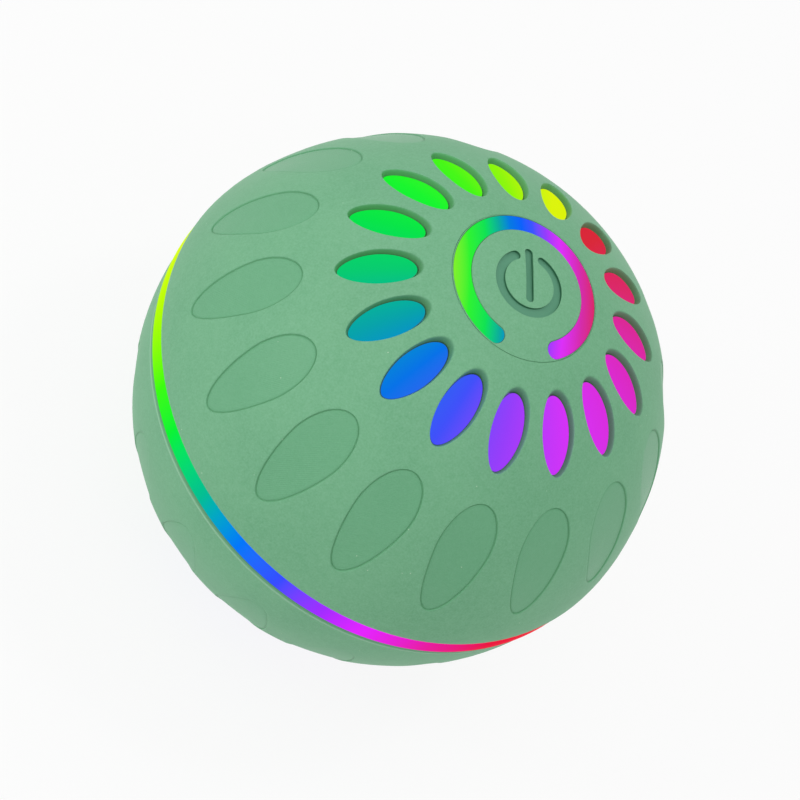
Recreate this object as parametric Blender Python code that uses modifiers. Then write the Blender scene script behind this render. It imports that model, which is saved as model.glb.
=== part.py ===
"""Smart dog ball: two soft skins stretched over a lit translucent ball that holds a power button and a drive.

The polar axis is +Z, the power sign's upright direction is +Y and the origin is the centre of the ball.
Lengths are in metres. Heights are along Z, and an arc is a length along the ball's surface from a pole.
"""

import math

import bmesh
import bpy
from mathutils import Matrix, Vector

MM = 0.001
DEG = math.pi / 180.0

# The ball as a whole
BALL_RADIUS = 40.0 * MM
POLAR_HALF_HEIGHT = 39.1 * MM
SKIN_THICKNESS = 1.6 * MM
SHELL_THICKNESS = 1.8 * MM

# Clearances that every fit uses
FIT_GAP = 0.3 * MM
SEAT_GAP = 0.1 * MM
RUNNING_GAP = 0.1 * MM
OVERRUN = 1.0 * MM
WELD = 0.001 * MM

# Facets around the turned pieces
BALL_FACETS = 32
PART_FACETS = 20
SMALL_FACETS = 12
PILOT_FACETS = 8
POLE_STEPS = 2
TIP_STEPS = 3
FINE_STEPS = 7
COARSE_STEPS = 4

# Sixteen lit windows and sixteen shallow pads around each pole
PATTERN_COUNT = 16
LOWER_TURN = -4.7 * DEG
WINDOW_CENTRE_ARC = 22.4 * MM
WINDOW_HALF_LENGTH = 5.7 * MM
WINDOW_HALF_WIDTH = 2.5 * MM
MOUTH_POLE_FLARE = 1.2 * MM
MOUTH_TIP_FLARE = 0.4 * MM
MOUTH_SIDE_FLARE = 0.3 * MM
PAD_START_ARC = 33.0 * MM
PAD_WIDEST_ARC = 41.1 * MM
PAD_TIP_ARC = 53.3 * MM
PAD_HALF_WIDTH = 4.4 * MM
PAD_DEPTH = 0.4 * MM

# Light band round the equator, with the web that the shells clamp
BAND_RECESS = 0.25 * MM
BAND_HALF_HEIGHT = 1.5 * MM
BAND_WEB_HALF_HEIGHT = 0.8 * MM
BAND_WEB_MARGIN = 1.0 * MM
SEAL_WIDTH = 0.6 * MM
SEAL_HEIGHT = 1.0 * MM

# Polar well that holds the button and its ring of light
SKIN_HOLE_RADIUS = 11.75 * MM
WELL_DEPTH = 5.2 * MM
WELL_MARGIN = 0.3 * MM
FLOOR_THICKNESS = 1.8 * MM
CAP_PROUD = 0.2 * MM
RING_WIDTH = 2.4 * MM
RING_CLEARANCE = 0.2 * MM
RING_END_ANGLE = 27.9 * DEG
BUTTON_TRAVEL = 0.5 * MM
BUTTON_WALL = 1.5 * MM
BUTTON_TOP_THICKNESS = 1.4 * MM
BUTTON_LIP = 1.0 * MM
BUTTON_LIP_HEIGHT = 0.75 * MM
BUTTON_STEM_RADIUS = 2.2 * MM
STEM_HOLE_RADIUS = 2.6 * MM
SEAL_DISC_RADIUS = 6.3 * MM
SEAL_DISC_HEIGHT = 0.8 * MM

# Switch and board under the button
SWITCH_SIDE = 6.0 * MM
SWITCH_HEIGHT = 3.0 * MM
SWITCH_BORE_DEPTH = 2.0 * MM
PLUNGER_RADIUS = 1.6 * MM
PLUNGER_REACH = 0.9 * MM
STEM_REACH = 0.5 * MM
BUTTON_BOARD_RADIUS = 11.0 * MM
BOARD_THICKNESS = 1.2 * MM
BUTTON_POST_OFFSET = 8.3 * MM
LED_SIDE = 3.0 * MM
LED_HEIGHT = 1.2 * MM
LED_RING_RADIUS = 7.0 * MM

# Screws
SMALL_SHANK_RADIUS = 0.9 * MM
SMALL_HEAD_RADIUS = 1.7 * MM
SMALL_HEAD_HEIGHT = 1.1 * MM
SMALL_GRIP = 4.0 * MM
SMALL_POST_RADIUS = 2.3 * MM
SHELL_SHANK_RADIUS = 1.3 * MM
SHELL_HEAD_RADIUS = 2.3 * MM
SHELL_HEAD_HEIGHT = 1.8 * MM
SHELL_POST_RADIUS = 3.2 * MM
COUNTERBORE_WALL = 1.3 * MM
SHELL_POST_INSET = 13.0 * MM
SHELL_POST_COUNT = 3
SHELL_SEAT_DEPTH = 8.0 * MM
SHELL_GRIP = 8.0 * MM

# Chassis plate across the middle
PLATE_MARGIN = 6.0 * MM
PLATE_HALF_THICKNESS = 1.0 * MM
BOARD_POST_X = -2.0 * MM
BOARD_POST_MARGIN = 3.0 * MM
BOARD_CLEARANCE = 2.8 * MM
BOARD_SPACING = 8.2 * MM

# Battery beside the axis
BATTERY_HUB_CLEARANCE = 2.1 * MM
BATTERY_WALL_MARGIN = 12.4 * MM
BATTERY_CLEARANCE = 3.1 * MM
BATTERY_NUB_RADIUS = 2.5 * MM
BATTERY_NUB_LENGTH = 1.2 * MM
BATTERY_EDGE = 0.8 * MM
SADDLE_MARGIN = 5.5 * MM
SADDLE_WIDTH = 2.0 * MM
SADDLE_HEIGHT = 4.0 * MM
STRAP_HUB_CLEARANCE = 0.8 * MM
STRAP_WIDTH = 6.0 * MM
STRAP_THICKNESS = 1.4 * MM
STRAP_FOOT = 4.4 * MM

# Motor
MOTOR_X = -14.0 * MM
MOTOR_RADIUS = 9.0 * MM
MOTOR_CLEARANCE = 1.3 * MM
MOTOR_EDGE = 0.8 * MM
MOTOR_CAP_HEIGHT = 1.6 * MM
MOTOR_CAP_RADIUS = 7.0 * MM
MOTOR_SHAFT_RADIUS = 1.0 * MM
MOTOR_SHAFT_MARGIN = 5.0 * MM
MOTOR_SCREW_OFFSET = 5.8 * MM

# Reduction gears under the plate
GEAR_POST_CLEARANCE = 0.39 * MM
PRESSURE_ANGLE = 20.0 * DEG
PINION_TEETH = 10
IDLER_TEETH = 30
IDLER_PINION_TEETH = 10
OUTPUT_TEETH = 34
ADDENDUM_SHARE = 0.85
DEDENDUM_SHARE = 1.25
BACKLASH = 0.12 * MM
GEAR_FLOAT = 0.6 * MM
STAGE_ONE_FACE = 2.5 * MM
STAGE_GAP = 0.5 * MM
STAGE_TWO_FACE = 2.8 * MM
IDLER_PIN_RADIUS = 1.0 * MM
COVER_THICKNESS = 1.5 * MM
COVER_CORNER_RADIUS = 3.6 * MM

# Output shaft and the eccentric weight that it swings
SHAFT_RADIUS = 1.5 * MM
BUSH_WALL = 1.2 * MM
HUB_WALL = 1.5 * MM
HUB_HEIGHT = 5.0 * MM
BUSH_FLANGE = 0.8 * MM
BUSH_FLANGE_HEIGHT = 0.6 * MM
WEIGHT_CLEARANCE = 1.1 * MM
WEIGHT_INNER_RADIUS = 7.5 * MM
DRIVE_CLEARANCE = 5.2 * MM
WEIGHT_HALF_ANGLE = 80.0 * DEG
WEIGHT_HUB_RADIUS = 4.5 * MM
WEIGHT_ARM_HALF_WIDTH = 4.0 * MM
WEIGHT_FLOAT = 0.6 * MM
NUT_RADIUS = 3.2 * MM
NUT_HEIGHT = 1.8 * MM
SHAFT_END = 0.8 * MM

# Charging port at the lower pole
PORT_HALF_WIDTH = 4.5 * MM
PORT_HALF_HEIGHT = 1.65 * MM
PORT_WALL = 0.35 * MM
PORT_DEPTH = 7.3 * MM
PORT_BACK = 1.2 * MM
PORT_MOUTH_INSET = 0.2 * MM
TONGUE_HALF_WIDTH = 3.3 * MM
TONGUE_HALF_HEIGHT = 0.35 * MM
TONGUE_SETBACK = 0.9 * MM
PLUG_HALF_LENGTH = 7.4 * MM
PLUG_HALF_WIDTH = 4.0 * MM
PLUG_LUG_DEPTH = 2.6 * MM
PLUG_TRAVEL = 4.2 * MM
TETHER_OFFSET = 5.6 * MM
TETHER_RADIUS = 0.7 * MM
TETHER_BARB_RADIUS = 1.2 * MM
TETHER_BARB_HEIGHT = 1.2 * MM
CHARGE_BOARD_HALF_LENGTH = 11.0 * MM
CHARGE_BOARD_HALF_WIDTH = 7.0 * MM
CHARGE_POST_OFFSET = 8.3 * MM

# Parts on the main board
CHIP_SIDE = 7.0 * MM
CHIP_HEIGHT = 1.0 * MM
CHIP_MARGIN = 12.0 * MM
SENSOR_SIDE = 4.0 * MM
SENSOR_X = 4.0 * MM
CONNECTOR_LENGTH = 7.5 * MM
CONNECTOR_DEPTH = 5.0 * MM
CONNECTOR_HEIGHT = 5.0 * MM
CONNECTOR_X = 11.0 * MM
BOARD_EDGE = 0.15 * MM

# Leads
LEAD_RADIUS = 0.8 * MM
LEAD_SPAN_STEPS = 3
LEAD_MARGIN = 0.4 * MM
LEAD_BEND = 3.2 * MM
MOTOR_LEAD_MARGIN = 3.0 * MM
BUTTON_LEAD_START = 2.5 * MM
BUTTON_LEAD_END = 8.0 * MM
CHARGE_LEAD_X = 3.0 * MM
CHARGE_LEAD_START = 8.0 * MM
CHARGE_LEAD_MARGIN = 4.0 * MM
CHARGE_LEAD_CLEARANCE = 3.5 * MM

# Heights and radii worked out from the sizes above
SHELL_INSET = SKIN_THICKNESS + FIT_GAP
SHELL_BACK_INSET = SHELL_INSET + SHELL_THICKNESS
SKIN_RIM_HEIGHT = BAND_HALF_HEIGHT + RING_CLEARANCE
SHELL_RIM_HEIGHT = BAND_WEB_HALF_HEIGHT + FIT_GAP
REBATE_WIDTH = SEAL_WIDTH + FIT_GAP
REBATE_HEIGHT = BAND_WEB_HALF_HEIGHT + SEAT_GAP + SEAL_HEIGHT + FIT_GAP
RING_OUTER_RADIUS = SKIN_HOLE_RADIUS - FIT_GAP
RING_INNER_RADIUS = RING_OUTER_RADIUS - RING_WIDTH
RING_MIDDLE_RADIUS = RING_OUTER_RADIUS - RING_WIDTH / 2
ISLAND_RADIUS = RING_INNER_RADIUS - RING_CLEARANCE
WELL_RADIUS = SKIN_HOLE_RADIUS + WELL_MARGIN
WELL_FLOOR_HEIGHT = POLAR_HALF_HEIGHT - WELL_DEPTH
LIP_RADIUS = ISLAND_RADIUS + BUTTON_LIP
LIP_LOW = WELL_FLOOR_HEIGHT + BUTTON_TRAVEL + FIT_GAP
LIP_HIGH = LIP_LOW + BUTTON_LIP_HEIGHT
RING_STEP_HEIGHT = LIP_HIGH + FIT_GAP
FLOOR_LOW = WELL_FLOOR_HEIGHT - FLOOR_THICKNESS
STEM_END = FLOOR_LOW - STEM_REACH
PLUNGER_TOP = STEM_END - SEAT_GAP
SWITCH_TOP = PLUNGER_TOP - PLUNGER_REACH
SWITCH_LOW = SWITCH_TOP - SWITCH_HEIGHT
BUTTON_BOARD_TOP = SWITCH_LOW - SEAT_GAP
BUTTON_BOARD_LOW = BUTTON_BOARD_TOP - BOARD_THICKNESS
SMALL_PILOT_RADIUS = SMALL_SHANK_RADIUS + FIT_GAP
SHELL_PILOT_RADIUS = SHELL_SHANK_RADIUS + FIT_GAP
COUNTERBORE_RADIUS = SHELL_HEAD_RADIUS + FIT_GAP
LOWER_POST_RADIUS = COUNTERBORE_RADIUS + COUNTERBORE_WALL
POST_END_HEIGHT = PLATE_HALF_THICKNESS + SEAT_GAP
SHELL_POST_RING = BALL_RADIUS - SHELL_POST_INSET
PLATE_RADIUS = SHELL_POST_RING + PLATE_MARGIN
MAIN_BOARD_RADIUS = SHELL_POST_RING - SHELL_POST_RADIUS - BOARD_CLEARANCE
BOARD_POST_Y = MAIN_BOARD_RADIUS - BOARD_POST_MARGIN
MAIN_BOARD_HEIGHT = BUTTON_BOARD_LOW - BOARD_SPACING
MAIN_BOARD_TOP = MAIN_BOARD_HEIGHT + BOARD_THICKNESS
CHIP_X = CHIP_MARGIN - MAIN_BOARD_RADIUS
MOTOR_LOW = PLATE_HALF_THICKNESS + SEAT_GAP
MOTOR_TOP = MAIN_BOARD_HEIGHT - MOTOR_CLEARANCE - MOTOR_CAP_HEIGHT - SEAT_GAP
MOTOR_SHAFT_TOP = MOTOR_TOP - MOTOR_SHAFT_MARGIN
SHAFT_BORE_RADIUS = SHAFT_RADIUS + RUNNING_GAP
BUSH_RADIUS = SHAFT_BORE_RADIUS + BUSH_WALL
BUSH_SEAT_RADIUS = BUSH_RADIUS + SEAT_GAP
HUB_RADIUS = BUSH_SEAT_RADIUS + HUB_WALL
HUB_TOP = PLATE_HALF_THICKNESS + HUB_HEIGHT
SHAFT_TOP = HUB_TOP + BUSH_FLANGE_HEIGHT + SHAFT_END

# The cell takes the room beside the hub or the room under the main board, whichever is less
BATTERY_INNER_X = HUB_RADIUS + BATTERY_HUB_CLEARANCE
BATTERY_SIDE_ROOM = SHELL_POST_RING - SHELL_POST_RADIUS - BATTERY_CLEARANCE - BATTERY_INNER_X
BATTERY_LOW = PLATE_HALF_THICKNESS + FIT_GAP + FIT_GAP
BATTERY_HEIGHT_ROOM = MAIN_BOARD_HEIGHT - FIT_GAP - FIT_GAP - STRAP_THICKNESS - FIT_GAP - BATTERY_LOW
BATTERY_RADIUS = min(BATTERY_SIDE_ROOM, BATTERY_HEIGHT_ROOM) / 2
BATTERY_X = BATTERY_INNER_X + BATTERY_RADIUS
BATTERY_Z = BATTERY_LOW + BATTERY_RADIUS
BATTERY_LENGTH = 2 * math.sqrt((BALL_RADIUS - BATTERY_WALL_MARGIN) ** 2 - BATTERY_X**2)
SADDLE_OFFSET = BATTERY_LENGTH / 2 - SADDLE_MARGIN
STRAP_Y = -(HUB_RADIUS + STRAP_HUB_CLEARANCE + STRAP_WIDTH / 2)

# Heights under the plate
STAGE_ONE_TOP = -PLATE_HALF_THICKNESS - GEAR_FLOAT
STAGE_ONE_LOW = STAGE_ONE_TOP - STAGE_ONE_FACE
STAGE_TWO_TOP = STAGE_ONE_LOW - STAGE_GAP
STAGE_TWO_LOW = STAGE_TWO_TOP - STAGE_TWO_FACE
COVER_TOP = STAGE_TWO_LOW - GEAR_FLOAT
COVER_LOW = COVER_TOP - COVER_THICKNESS
WEIGHT_TOP = COVER_LOW - SEAT_GAP - SMALL_HEAD_HEIGHT - WEIGHT_FLOAT
WEIGHT_RADIUS = SHELL_POST_RING - LOWER_POST_RADIUS - WEIGHT_CLEARANCE
SHELL_POLE = POLAR_HALF_HEIGHT - SHELL_INSET
SHELL_BACK_POLE = POLAR_HALF_HEIGHT - SHELL_BACK_INSET
PORT_MOUTH_Z = -SHELL_BACK_POLE + PORT_MOUTH_INSET
PORT_BACK_Z = PORT_MOUTH_Z + PORT_DEPTH
CHARGE_BOARD_LOW = PORT_BACK_Z + SEAT_GAP
CHARGE_BOARD_TOP = CHARGE_BOARD_LOW + BOARD_THICKNESS
SHAFT_LOW = CHARGE_BOARD_TOP + DRIVE_CLEARANCE
NUT_LOW = SHAFT_LOW + SHAFT_END
WEIGHT_LOW = NUT_LOW + NUT_HEIGHT + SEAT_GAP
LEAD_OFFSET = LEAD_RADIUS + LEAD_MARGIN
CHARGE_LEAD_Y = WEIGHT_RADIUS + CHARGE_LEAD_CLEARANCE + LEAD_RADIUS

# The gears fill the room from the output shaft to the shell's posts, and their axes stand at the meshing distances
GEAR_ROOM = SHELL_POST_RING - LOWER_POST_RADIUS - GEAR_POST_CLEARANCE
GEAR_MODULE = GEAR_ROOM / ((IDLER_PINION_TEETH + OUTPUT_TEETH + IDLER_TEETH) / 2 + ADDENDUM_SHARE)
STAGE_ONE_DISTANCE = GEAR_MODULE * (PINION_TEETH + IDLER_TEETH) / 2
STAGE_TWO_DISTANCE = GEAR_MODULE * (IDLER_PINION_TEETH + OUTPUT_TEETH) / 2
IDLER_X = (STAGE_TWO_DISTANCE**2 - STAGE_ONE_DISTANCE**2 + MOTOR_X**2) / (2 * MOTOR_X)
IDLER_Y = math.sqrt(STAGE_TWO_DISTANCE**2 - IDLER_X**2)
IDLER_TIP_RADIUS = GEAR_MODULE * (IDLER_TEETH / 2 + ADDENDUM_SHARE)
OUTPUT_TIP_RADIUS = GEAR_MODULE * (OUTPUT_TEETH / 2 + ADDENDUM_SHARE)


def new_collection(name):
    made = bpy.data.collections.new(name)
    bpy.context.scene.collection.children.link(made)
    return made


for old in list(bpy.data.objects):
    bpy.data.objects.remove(old, do_unlink=True)
PARTS = new_collection("smart_dog_ball")
TOOLS = new_collection("cutters")
TOOLS.hide_render = True


def finish(name, colour, roughness, metallic=0.0):
    made = bpy.data.materials.new(name)
    made.use_nodes = True
    shader = made.node_tree.nodes["Principled BSDF"]
    shader.inputs["Base Color"].default_value = (*colour, 1.0)
    shader.inputs["Roughness"].default_value = roughness
    shader.inputs["Metallic"].default_value = metallic
    made.diffuse_color = (*colour, 1.0)
    return made


SKIN_GREEN = finish("skin_green", (0.16, 0.43, 0.25), 0.55)
BUTTON_GREEN = finish("button_green", (0.15, 0.41, 0.24), 0.55)
LIT_WHITE = finish("lit_white", (0.85, 0.87, 0.90), 0.40)
SEAL_GREY = finish("seal_grey", (0.25, 0.25, 0.26), 0.60)
NYLON = finish("nylon", (0.82, 0.81, 0.77), 0.45)
BOARD_GREEN = finish("board_green", (0.02, 0.16, 0.07), 0.40)
CHIP_BLACK = finish("chip_black", (0.02, 0.02, 0.02), 0.45)
LED_WHITE = finish("led_white", (0.90, 0.88, 0.75), 0.35)
STEEL = finish("steel", (0.60, 0.60, 0.62), 0.30, 1.0)
BRASS = finish("brass", (0.75, 0.58, 0.28), 0.30, 1.0)
ZINC = finish("zinc", (0.45, 0.46, 0.48), 0.45, 1.0)
BATTERY_BLUE = finish("battery_blue", (0.05, 0.20, 0.50), 0.35)
CHASSIS_WHITE = finish("chassis_white", (0.80, 0.80, 0.80), 0.50)
LEAD_RED = finish("lead_red", (0.55, 0.03, 0.03), 0.45)
LEAD_BLACK = finish("lead_black", (0.03, 0.03, 0.03), 0.45)
LEAD_WHITE = finish("lead_white", (0.75, 0.75, 0.72), 0.45)


def add_object(name, mesh, surface):
    """The object of a piece, or of a cutter where it has no surface of its own."""
    obj = bpy.data.objects.new(name, mesh)
    if surface is None:
        TOOLS.objects.link(obj)
        obj.hide_render = True
        obj.display_type = "WIRE"
    else:
        PARTS.objects.link(obj)
        mesh.materials.append(surface)
    return obj


def add_mesh(name, shape, surface):
    """Stores a bmesh as an object's mesh, with its faces pointing out and its round sides smooth."""
    bmesh.ops.recalc_face_normals(shape, faces=shape.faces)
    mesh = bpy.data.meshes.new(name)
    shape.to_mesh(mesh)
    shape.free()
    mesh.shade_smooth()
    mesh.set_sharp_from_angle(angle=30.0 * DEG)
    return add_object(name, mesh, surface)


def turned(name, profile, surface, facets=PART_FACETS, ring=False, at=(0.0, 0.0)):
    """A turned piece from its (radius, height) profile, which runs down the outer side. A ring's profile closes."""
    mesh = bpy.data.meshes.new(name)
    links = [(i, i + 1) for i in range(len(profile) - 1)]
    if ring:
        links.append((len(profile) - 1, 0))
    mesh.from_pydata([(radius, 0.0, height) for radius, height in profile], links, [])
    obj = add_object(name, mesh, surface)
    obj.location = (at[0], at[1], 0.0)
    spin = obj.modifiers.new("spin", "SCREW")
    spin.steps = facets
    spin.render_steps = facets
    spin.use_merge_vertices = True
    spin.merge_threshold = WELD
    spin.use_smooth_shade = True
    return obj


def rod(name, radius, low, high, surface, facets=PART_FACETS, at=(0.0, 0.0)):
    profile = [(0.0, high), (radius, high), (radius, low), (0.0, low)]
    return turned(name, profile, surface, facets, at=at)


def tube(name, inner, outer, low, high, surface, facets=PART_FACETS, at=(0.0, 0.0)):
    profile = [(inner, high), (outer, high), (outer, low), (inner, low)]
    return turned(name, profile, surface, facets, ring=True, at=at)


def rods(name, places, surface=None, facets=PART_FACETS):
    """Upright cylinders in one mesh, each given as (x, y, radius, low, high)."""
    shape = bmesh.new()
    for x, y, radius, low, high in places:
        middle = Matrix.Translation((x, y, (low + high) / 2))
        bmesh.ops.create_cone(
            shape, cap_ends=True, segments=facets, radius1=radius, radius2=radius, depth=high - low, matrix=middle
        )
    return add_mesh(name, shape, surface)


def boxes(name, places, surface=None, edge=0.0):
    """Boxes in one mesh, each given as its centre and its three sides. A named edge is bevelled."""
    shape = bmesh.new()
    for centre, sides in places:
        middle = Matrix.Translation(centre) @ Matrix.Diagonal((*sides, 1.0))
        bmesh.ops.create_cube(shape, size=1.0, matrix=middle)
    obj = add_mesh(name, shape, surface)
    if edge:
        round_off = obj.modifiers.new("edges", "BEVEL")
        round_off.width = edge
        round_off.segments = 1
        round_off.limit_method = "ANGLE"
    return obj


def circle(radius, facets, x=0.0, y=0.0):
    steps = [2 * math.pi * i / facets for i in range(facets)]
    return [(x + radius * math.cos(a), y + radius * math.sin(a)) for a in steps]


def arc(radius, start, end, count, x=0.0, y=0.0):
    steps = [start + (end - start) * i / (count - 1) for i in range(count)]
    return [(x + radius * math.cos(a), y + radius * math.sin(a)) for a in steps]


def stadium(half_length, half_width, count=7):
    """A slot's outline along X, with round ends."""
    centre = half_length - half_width
    right = arc(half_width, -math.pi / 2, math.pi / 2, count, x=centre)
    left = arc(half_width, math.pi / 2, 3 * math.pi / 2, count, x=-centre)
    return right + left


def rounded_hull(corners, radius, count=5):
    """The outline round a convex run of corners, given anticlockwise, with an arc at each."""
    outline = []
    for i, (x, y) in enumerate(corners):
        before = corners[i - 1]
        after = corners[(i + 1) % len(corners)]
        start = math.atan2(y - before[1], x - before[0]) - math.pi / 2
        end = math.atan2(after[1] - y, after[0] - x) - math.pi / 2
        end += 2 * math.pi * math.ceil((start - end) / (2 * math.pi))
        outline += arc(radius, start, end, count, x, y)
    return outline


def plate(name, outlines, low, high, surface):
    """A flat piece: its outline, and any holes in it, as a filled curve with half the thickness either way."""
    curve = bpy.data.curves.new(name, "CURVE")
    curve.dimensions = "2D"
    curve.fill_mode = "BOTH"
    curve.extrude = (high - low) / 2
    for outline in outlines:
        spline = curve.splines.new("POLY")
        spline.points.add(len(outline) - 1)
        for point, (x, y) in zip(spline.points, outline):
            point.co = (x, y, 0.0, 1.0)
        spline.use_cyclic_u = True
    flat = bpy.data.objects.new(name + "_outline", curve)
    bpy.context.scene.collection.objects.link(flat)
    evaluated = flat.evaluated_get(bpy.context.evaluated_depsgraph_get())
    mesh = bpy.data.meshes.new_from_object(evaluated)
    shape = bmesh.new()
    shape.from_mesh(mesh)
    bmesh.ops.remove_doubles(shape, verts=shape.verts, dist=WELD)
    bmesh.ops.translate(shape, verts=shape.verts, vec=(0.0, 0.0, (low + high) / 2))
    bpy.data.objects.remove(flat)
    bpy.data.meshes.remove(mesh)
    return add_mesh(name, shape, surface)


def combine(target, tool, operation):
    made = target.modifiers.new(tool.name, "BOOLEAN")
    made.operation = operation
    made.object = tool
    made.solver = "EXACT"


def dome_point(angle, inset):
    """A point of the ball's outline, that far inside its surface, as (radius, height)."""
    return (BALL_RADIUS - inset) * math.sin(angle), (POLAR_HALF_HEIGHT - inset) * math.cos(angle)


def dome_height(radius, inset):
    return (POLAR_HALF_HEIGHT - inset) * math.sqrt(1.0 - (radius / (BALL_RADIUS - inset)) ** 2)


def angle_at_radius(radius, inset):
    return math.asin(radius / (BALL_RADIUS - inset))


def angle_at_height(height, inset):
    return math.acos(height / (POLAR_HALF_HEIGHT - inset))


def dome_arc(inset, start, end, steps=FINE_STEPS):
    """Points from one polar angle to another, at steps of a quarter turn that walls side by side share."""
    low, high = sorted((start, end))
    shared = [i * math.pi / 2 / steps for i in range(2 * steps + 1)]
    angles = [low, *[angle for angle in shared if low + DEG < angle < high - DEG], high]
    points = [dome_point(angle, inset) for angle in angles]
    return points if start < end else points[::-1]


def upside_down(profile):
    """The same profile about the equator, still running down its outer side."""
    return [(radius, -height) for radius, height in reversed(profile)]


def oval_rows(start, widest, tip, half_width, flank_power, tip_power):
    """Rows across an oval, as (arc, half width), from the end at the pole to the tip."""
    rows = [(start, 0.0)]
    for i in range(1 - POLE_STEPS, 1):
        along = math.sin(math.pi / 2 * i / POLE_STEPS)
        rows.append((widest + along * (widest - start), half_width * math.sqrt(1.0 - along**2)))
    for i in range(1, TIP_STEPS):
        along = math.sin(math.pi / 2 * i / TIP_STEPS)
        rows.append((widest + along * (tip - widest), half_width * (1.0 - along**flank_power) ** tip_power))
    rows.append((tip, 0.0))
    return rows


def surface_grid(rows, inset, azimuth, side):
    """Points across each row of an oval on the ball, and one point at either end."""
    grid = []
    for along, half in rows:
        angle = along / BALL_RADIUS
        radius, height = dome_point(angle, inset)
        turns = (0.0,) if half == 0.0 else (-1.0, 0.0, 1.0)
        across = [azimuth + turn * half / (BALL_RADIUS * math.sin(angle)) for turn in turns]
        grid.append([Vector((radius * math.cos(a), radius * math.sin(a), side * height)) for a in across])
    return grid


def add_loft(shape, grids):
    """A closed solid between ovals that lie one above the other."""
    levels = [[[shape.verts.new(point) for point in row] for row in grid] for grid in grids]
    for cap in (levels[0], levels[-1]):
        for upper, lower in zip(cap, cap[1:]):
            if len(upper) == 1:
                corners = [(upper[0], lower[0], lower[1]), (upper[0], lower[1], lower[2])]
            elif len(lower) == 1:
                corners = [(lower[0], upper[0], upper[1]), (lower[0], upper[1], upper[2])]
            else:
                corners = [(upper[i], upper[i + 1], lower[i + 1], lower[i]) for i in (0, 1)]
            for face in corners:
                shape.faces.new(face)
    rims = []
    for level in levels:
        middle = level[1:-1]
        rims.append([level[0][0], *[row[-1] for row in middle], level[-1][0], *[row[0] for row in reversed(middle)]])
    for one, other in zip(rims, rims[1:]):
        for i in range(len(one)):
            shape.faces.new((one[i - 1], one[i], other[i], other[i - 1]))


def pattern_cutters(name, side):
    """The windows and the pads of one skin, as one cutter."""
    inner = oval_rows(
        WINDOW_CENTRE_ARC - WINDOW_HALF_LENGTH,
        WINDOW_CENTRE_ARC,
        WINDOW_CENTRE_ARC + WINDOW_HALF_LENGTH,
        WINDOW_HALF_WIDTH,
        2.0,
        0.5,
    )
    mouth = oval_rows(
        WINDOW_CENTRE_ARC - WINDOW_HALF_LENGTH - MOUTH_POLE_FLARE,
        WINDOW_CENTRE_ARC + (MOUTH_TIP_FLARE - MOUTH_POLE_FLARE) / 2,
        WINDOW_CENTRE_ARC + WINDOW_HALF_LENGTH + MOUTH_TIP_FLARE,
        WINDOW_HALF_WIDTH + MOUTH_SIDE_FLARE,
        2.0,
        0.5,
    )
    pad = oval_rows(PAD_START_ARC, PAD_WIDEST_ARC, PAD_TIP_ARC, PAD_HALF_WIDTH, 1.7, 0.7)
    shape = bmesh.new()
    for i in range(PATTERN_COUNT):
        azimuth = 2 * math.pi * i / PATTERN_COUNT
        window = [(mouth, -OVERRUN), (mouth, 0.0), (inner, SKIN_THICKNESS), (inner, SKIN_THICKNESS + OVERRUN)]
        add_loft(shape, [surface_grid(rows, inset, azimuth, side) for rows, inset in window])
        add_loft(shape, [surface_grid(pad, inset, azimuth, side) for inset in (-OVERRUN, PAD_DEPTH)])
    return add_mesh(name, shape, None)


def skin_profile(start_radius):
    start = angle_at_radius(start_radius, 0.0)
    outer = dome_arc(0.0, start, angle_at_height(SKIN_RIM_HEIGHT, 0.0))
    start = angle_at_height(SKIN_RIM_HEIGHT, SKIN_THICKNESS)
    inner = dome_arc(SKIN_THICKNESS, start, angle_at_radius(start_radius, SKIN_THICKNESS))
    return outer + inner


def top_skin():
    skin = turned("top_skin", skin_profile(SKIN_HOLE_RADIUS), SKIN_GREEN, BALL_FACETS, ring=True)
    combine(skin, pattern_cutters("top_skin_cuts", 1.0), "DIFFERENCE")


def bottom_skin():
    """The lower skin, whose windows and pads stand a few degrees round from the upper ones."""
    skin = turned("bottom_skin", upside_down(skin_profile(0.0)), SKIN_GREEN, BALL_FACETS)
    cuts = pattern_cutters("bottom_skin_cuts", -1.0)
    for obj in (skin, cuts):
        obj.rotation_euler.z = LOWER_TURN
    combine(skin, cuts, "DIFFERENCE")
    mouth = stadium(PLUG_HALF_LENGTH + FIT_GAP, PLUG_HALF_WIDTH + FIT_GAP)
    low = -POLAR_HALF_HEIGHT - OVERRUN
    combine(skin, plate("plug_mouth", [mouth], low, low / 2, None), "DIFFERENCE")


def shell_rim_and_back(flat_height):
    """The rim that sits on the band's web, its rebate for the seal, and the dome's back up to a flat height."""
    outer_rim = dome_point(angle_at_height(SHELL_RIM_HEIGHT, SHELL_INSET), SHELL_INSET)
    back = dome_arc(
        SHELL_BACK_INSET,
        angle_at_height(REBATE_HEIGHT, SHELL_BACK_INSET),
        angle_at_height(flat_height, SHELL_BACK_INSET),
        COARSE_STEPS,
    )
    rebate_radius = back[0][0] + REBATE_WIDTH
    return [outer_rim, (rebate_radius, SHELL_RIM_HEIGHT), (rebate_radius, REBATE_HEIGHT), *back]


def post_places():
    steps = [2 * math.pi * i / SHELL_POST_COUNT for i in range(SHELL_POST_COUNT)]
    return [(SHELL_POST_RING * math.cos(a), SHELL_POST_RING * math.sin(a)) for a in steps]


def inside_wall(name):
    """The ball inside the middle of the shell's wall, which trims the posts that stand on the wall."""
    inset = SHELL_INSET + SHELL_THICKNESS / 2
    return turned(name, dome_arc(inset, 0.0, math.pi), None, BALL_FACETS)


def add_posts(shell, name, places):
    posts = rods(name, places, facets=SMALL_FACETS)
    combine(posts, inside_wall(name + "_trim"), "INTERSECT")
    combine(shell, posts, "UNION")


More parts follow.
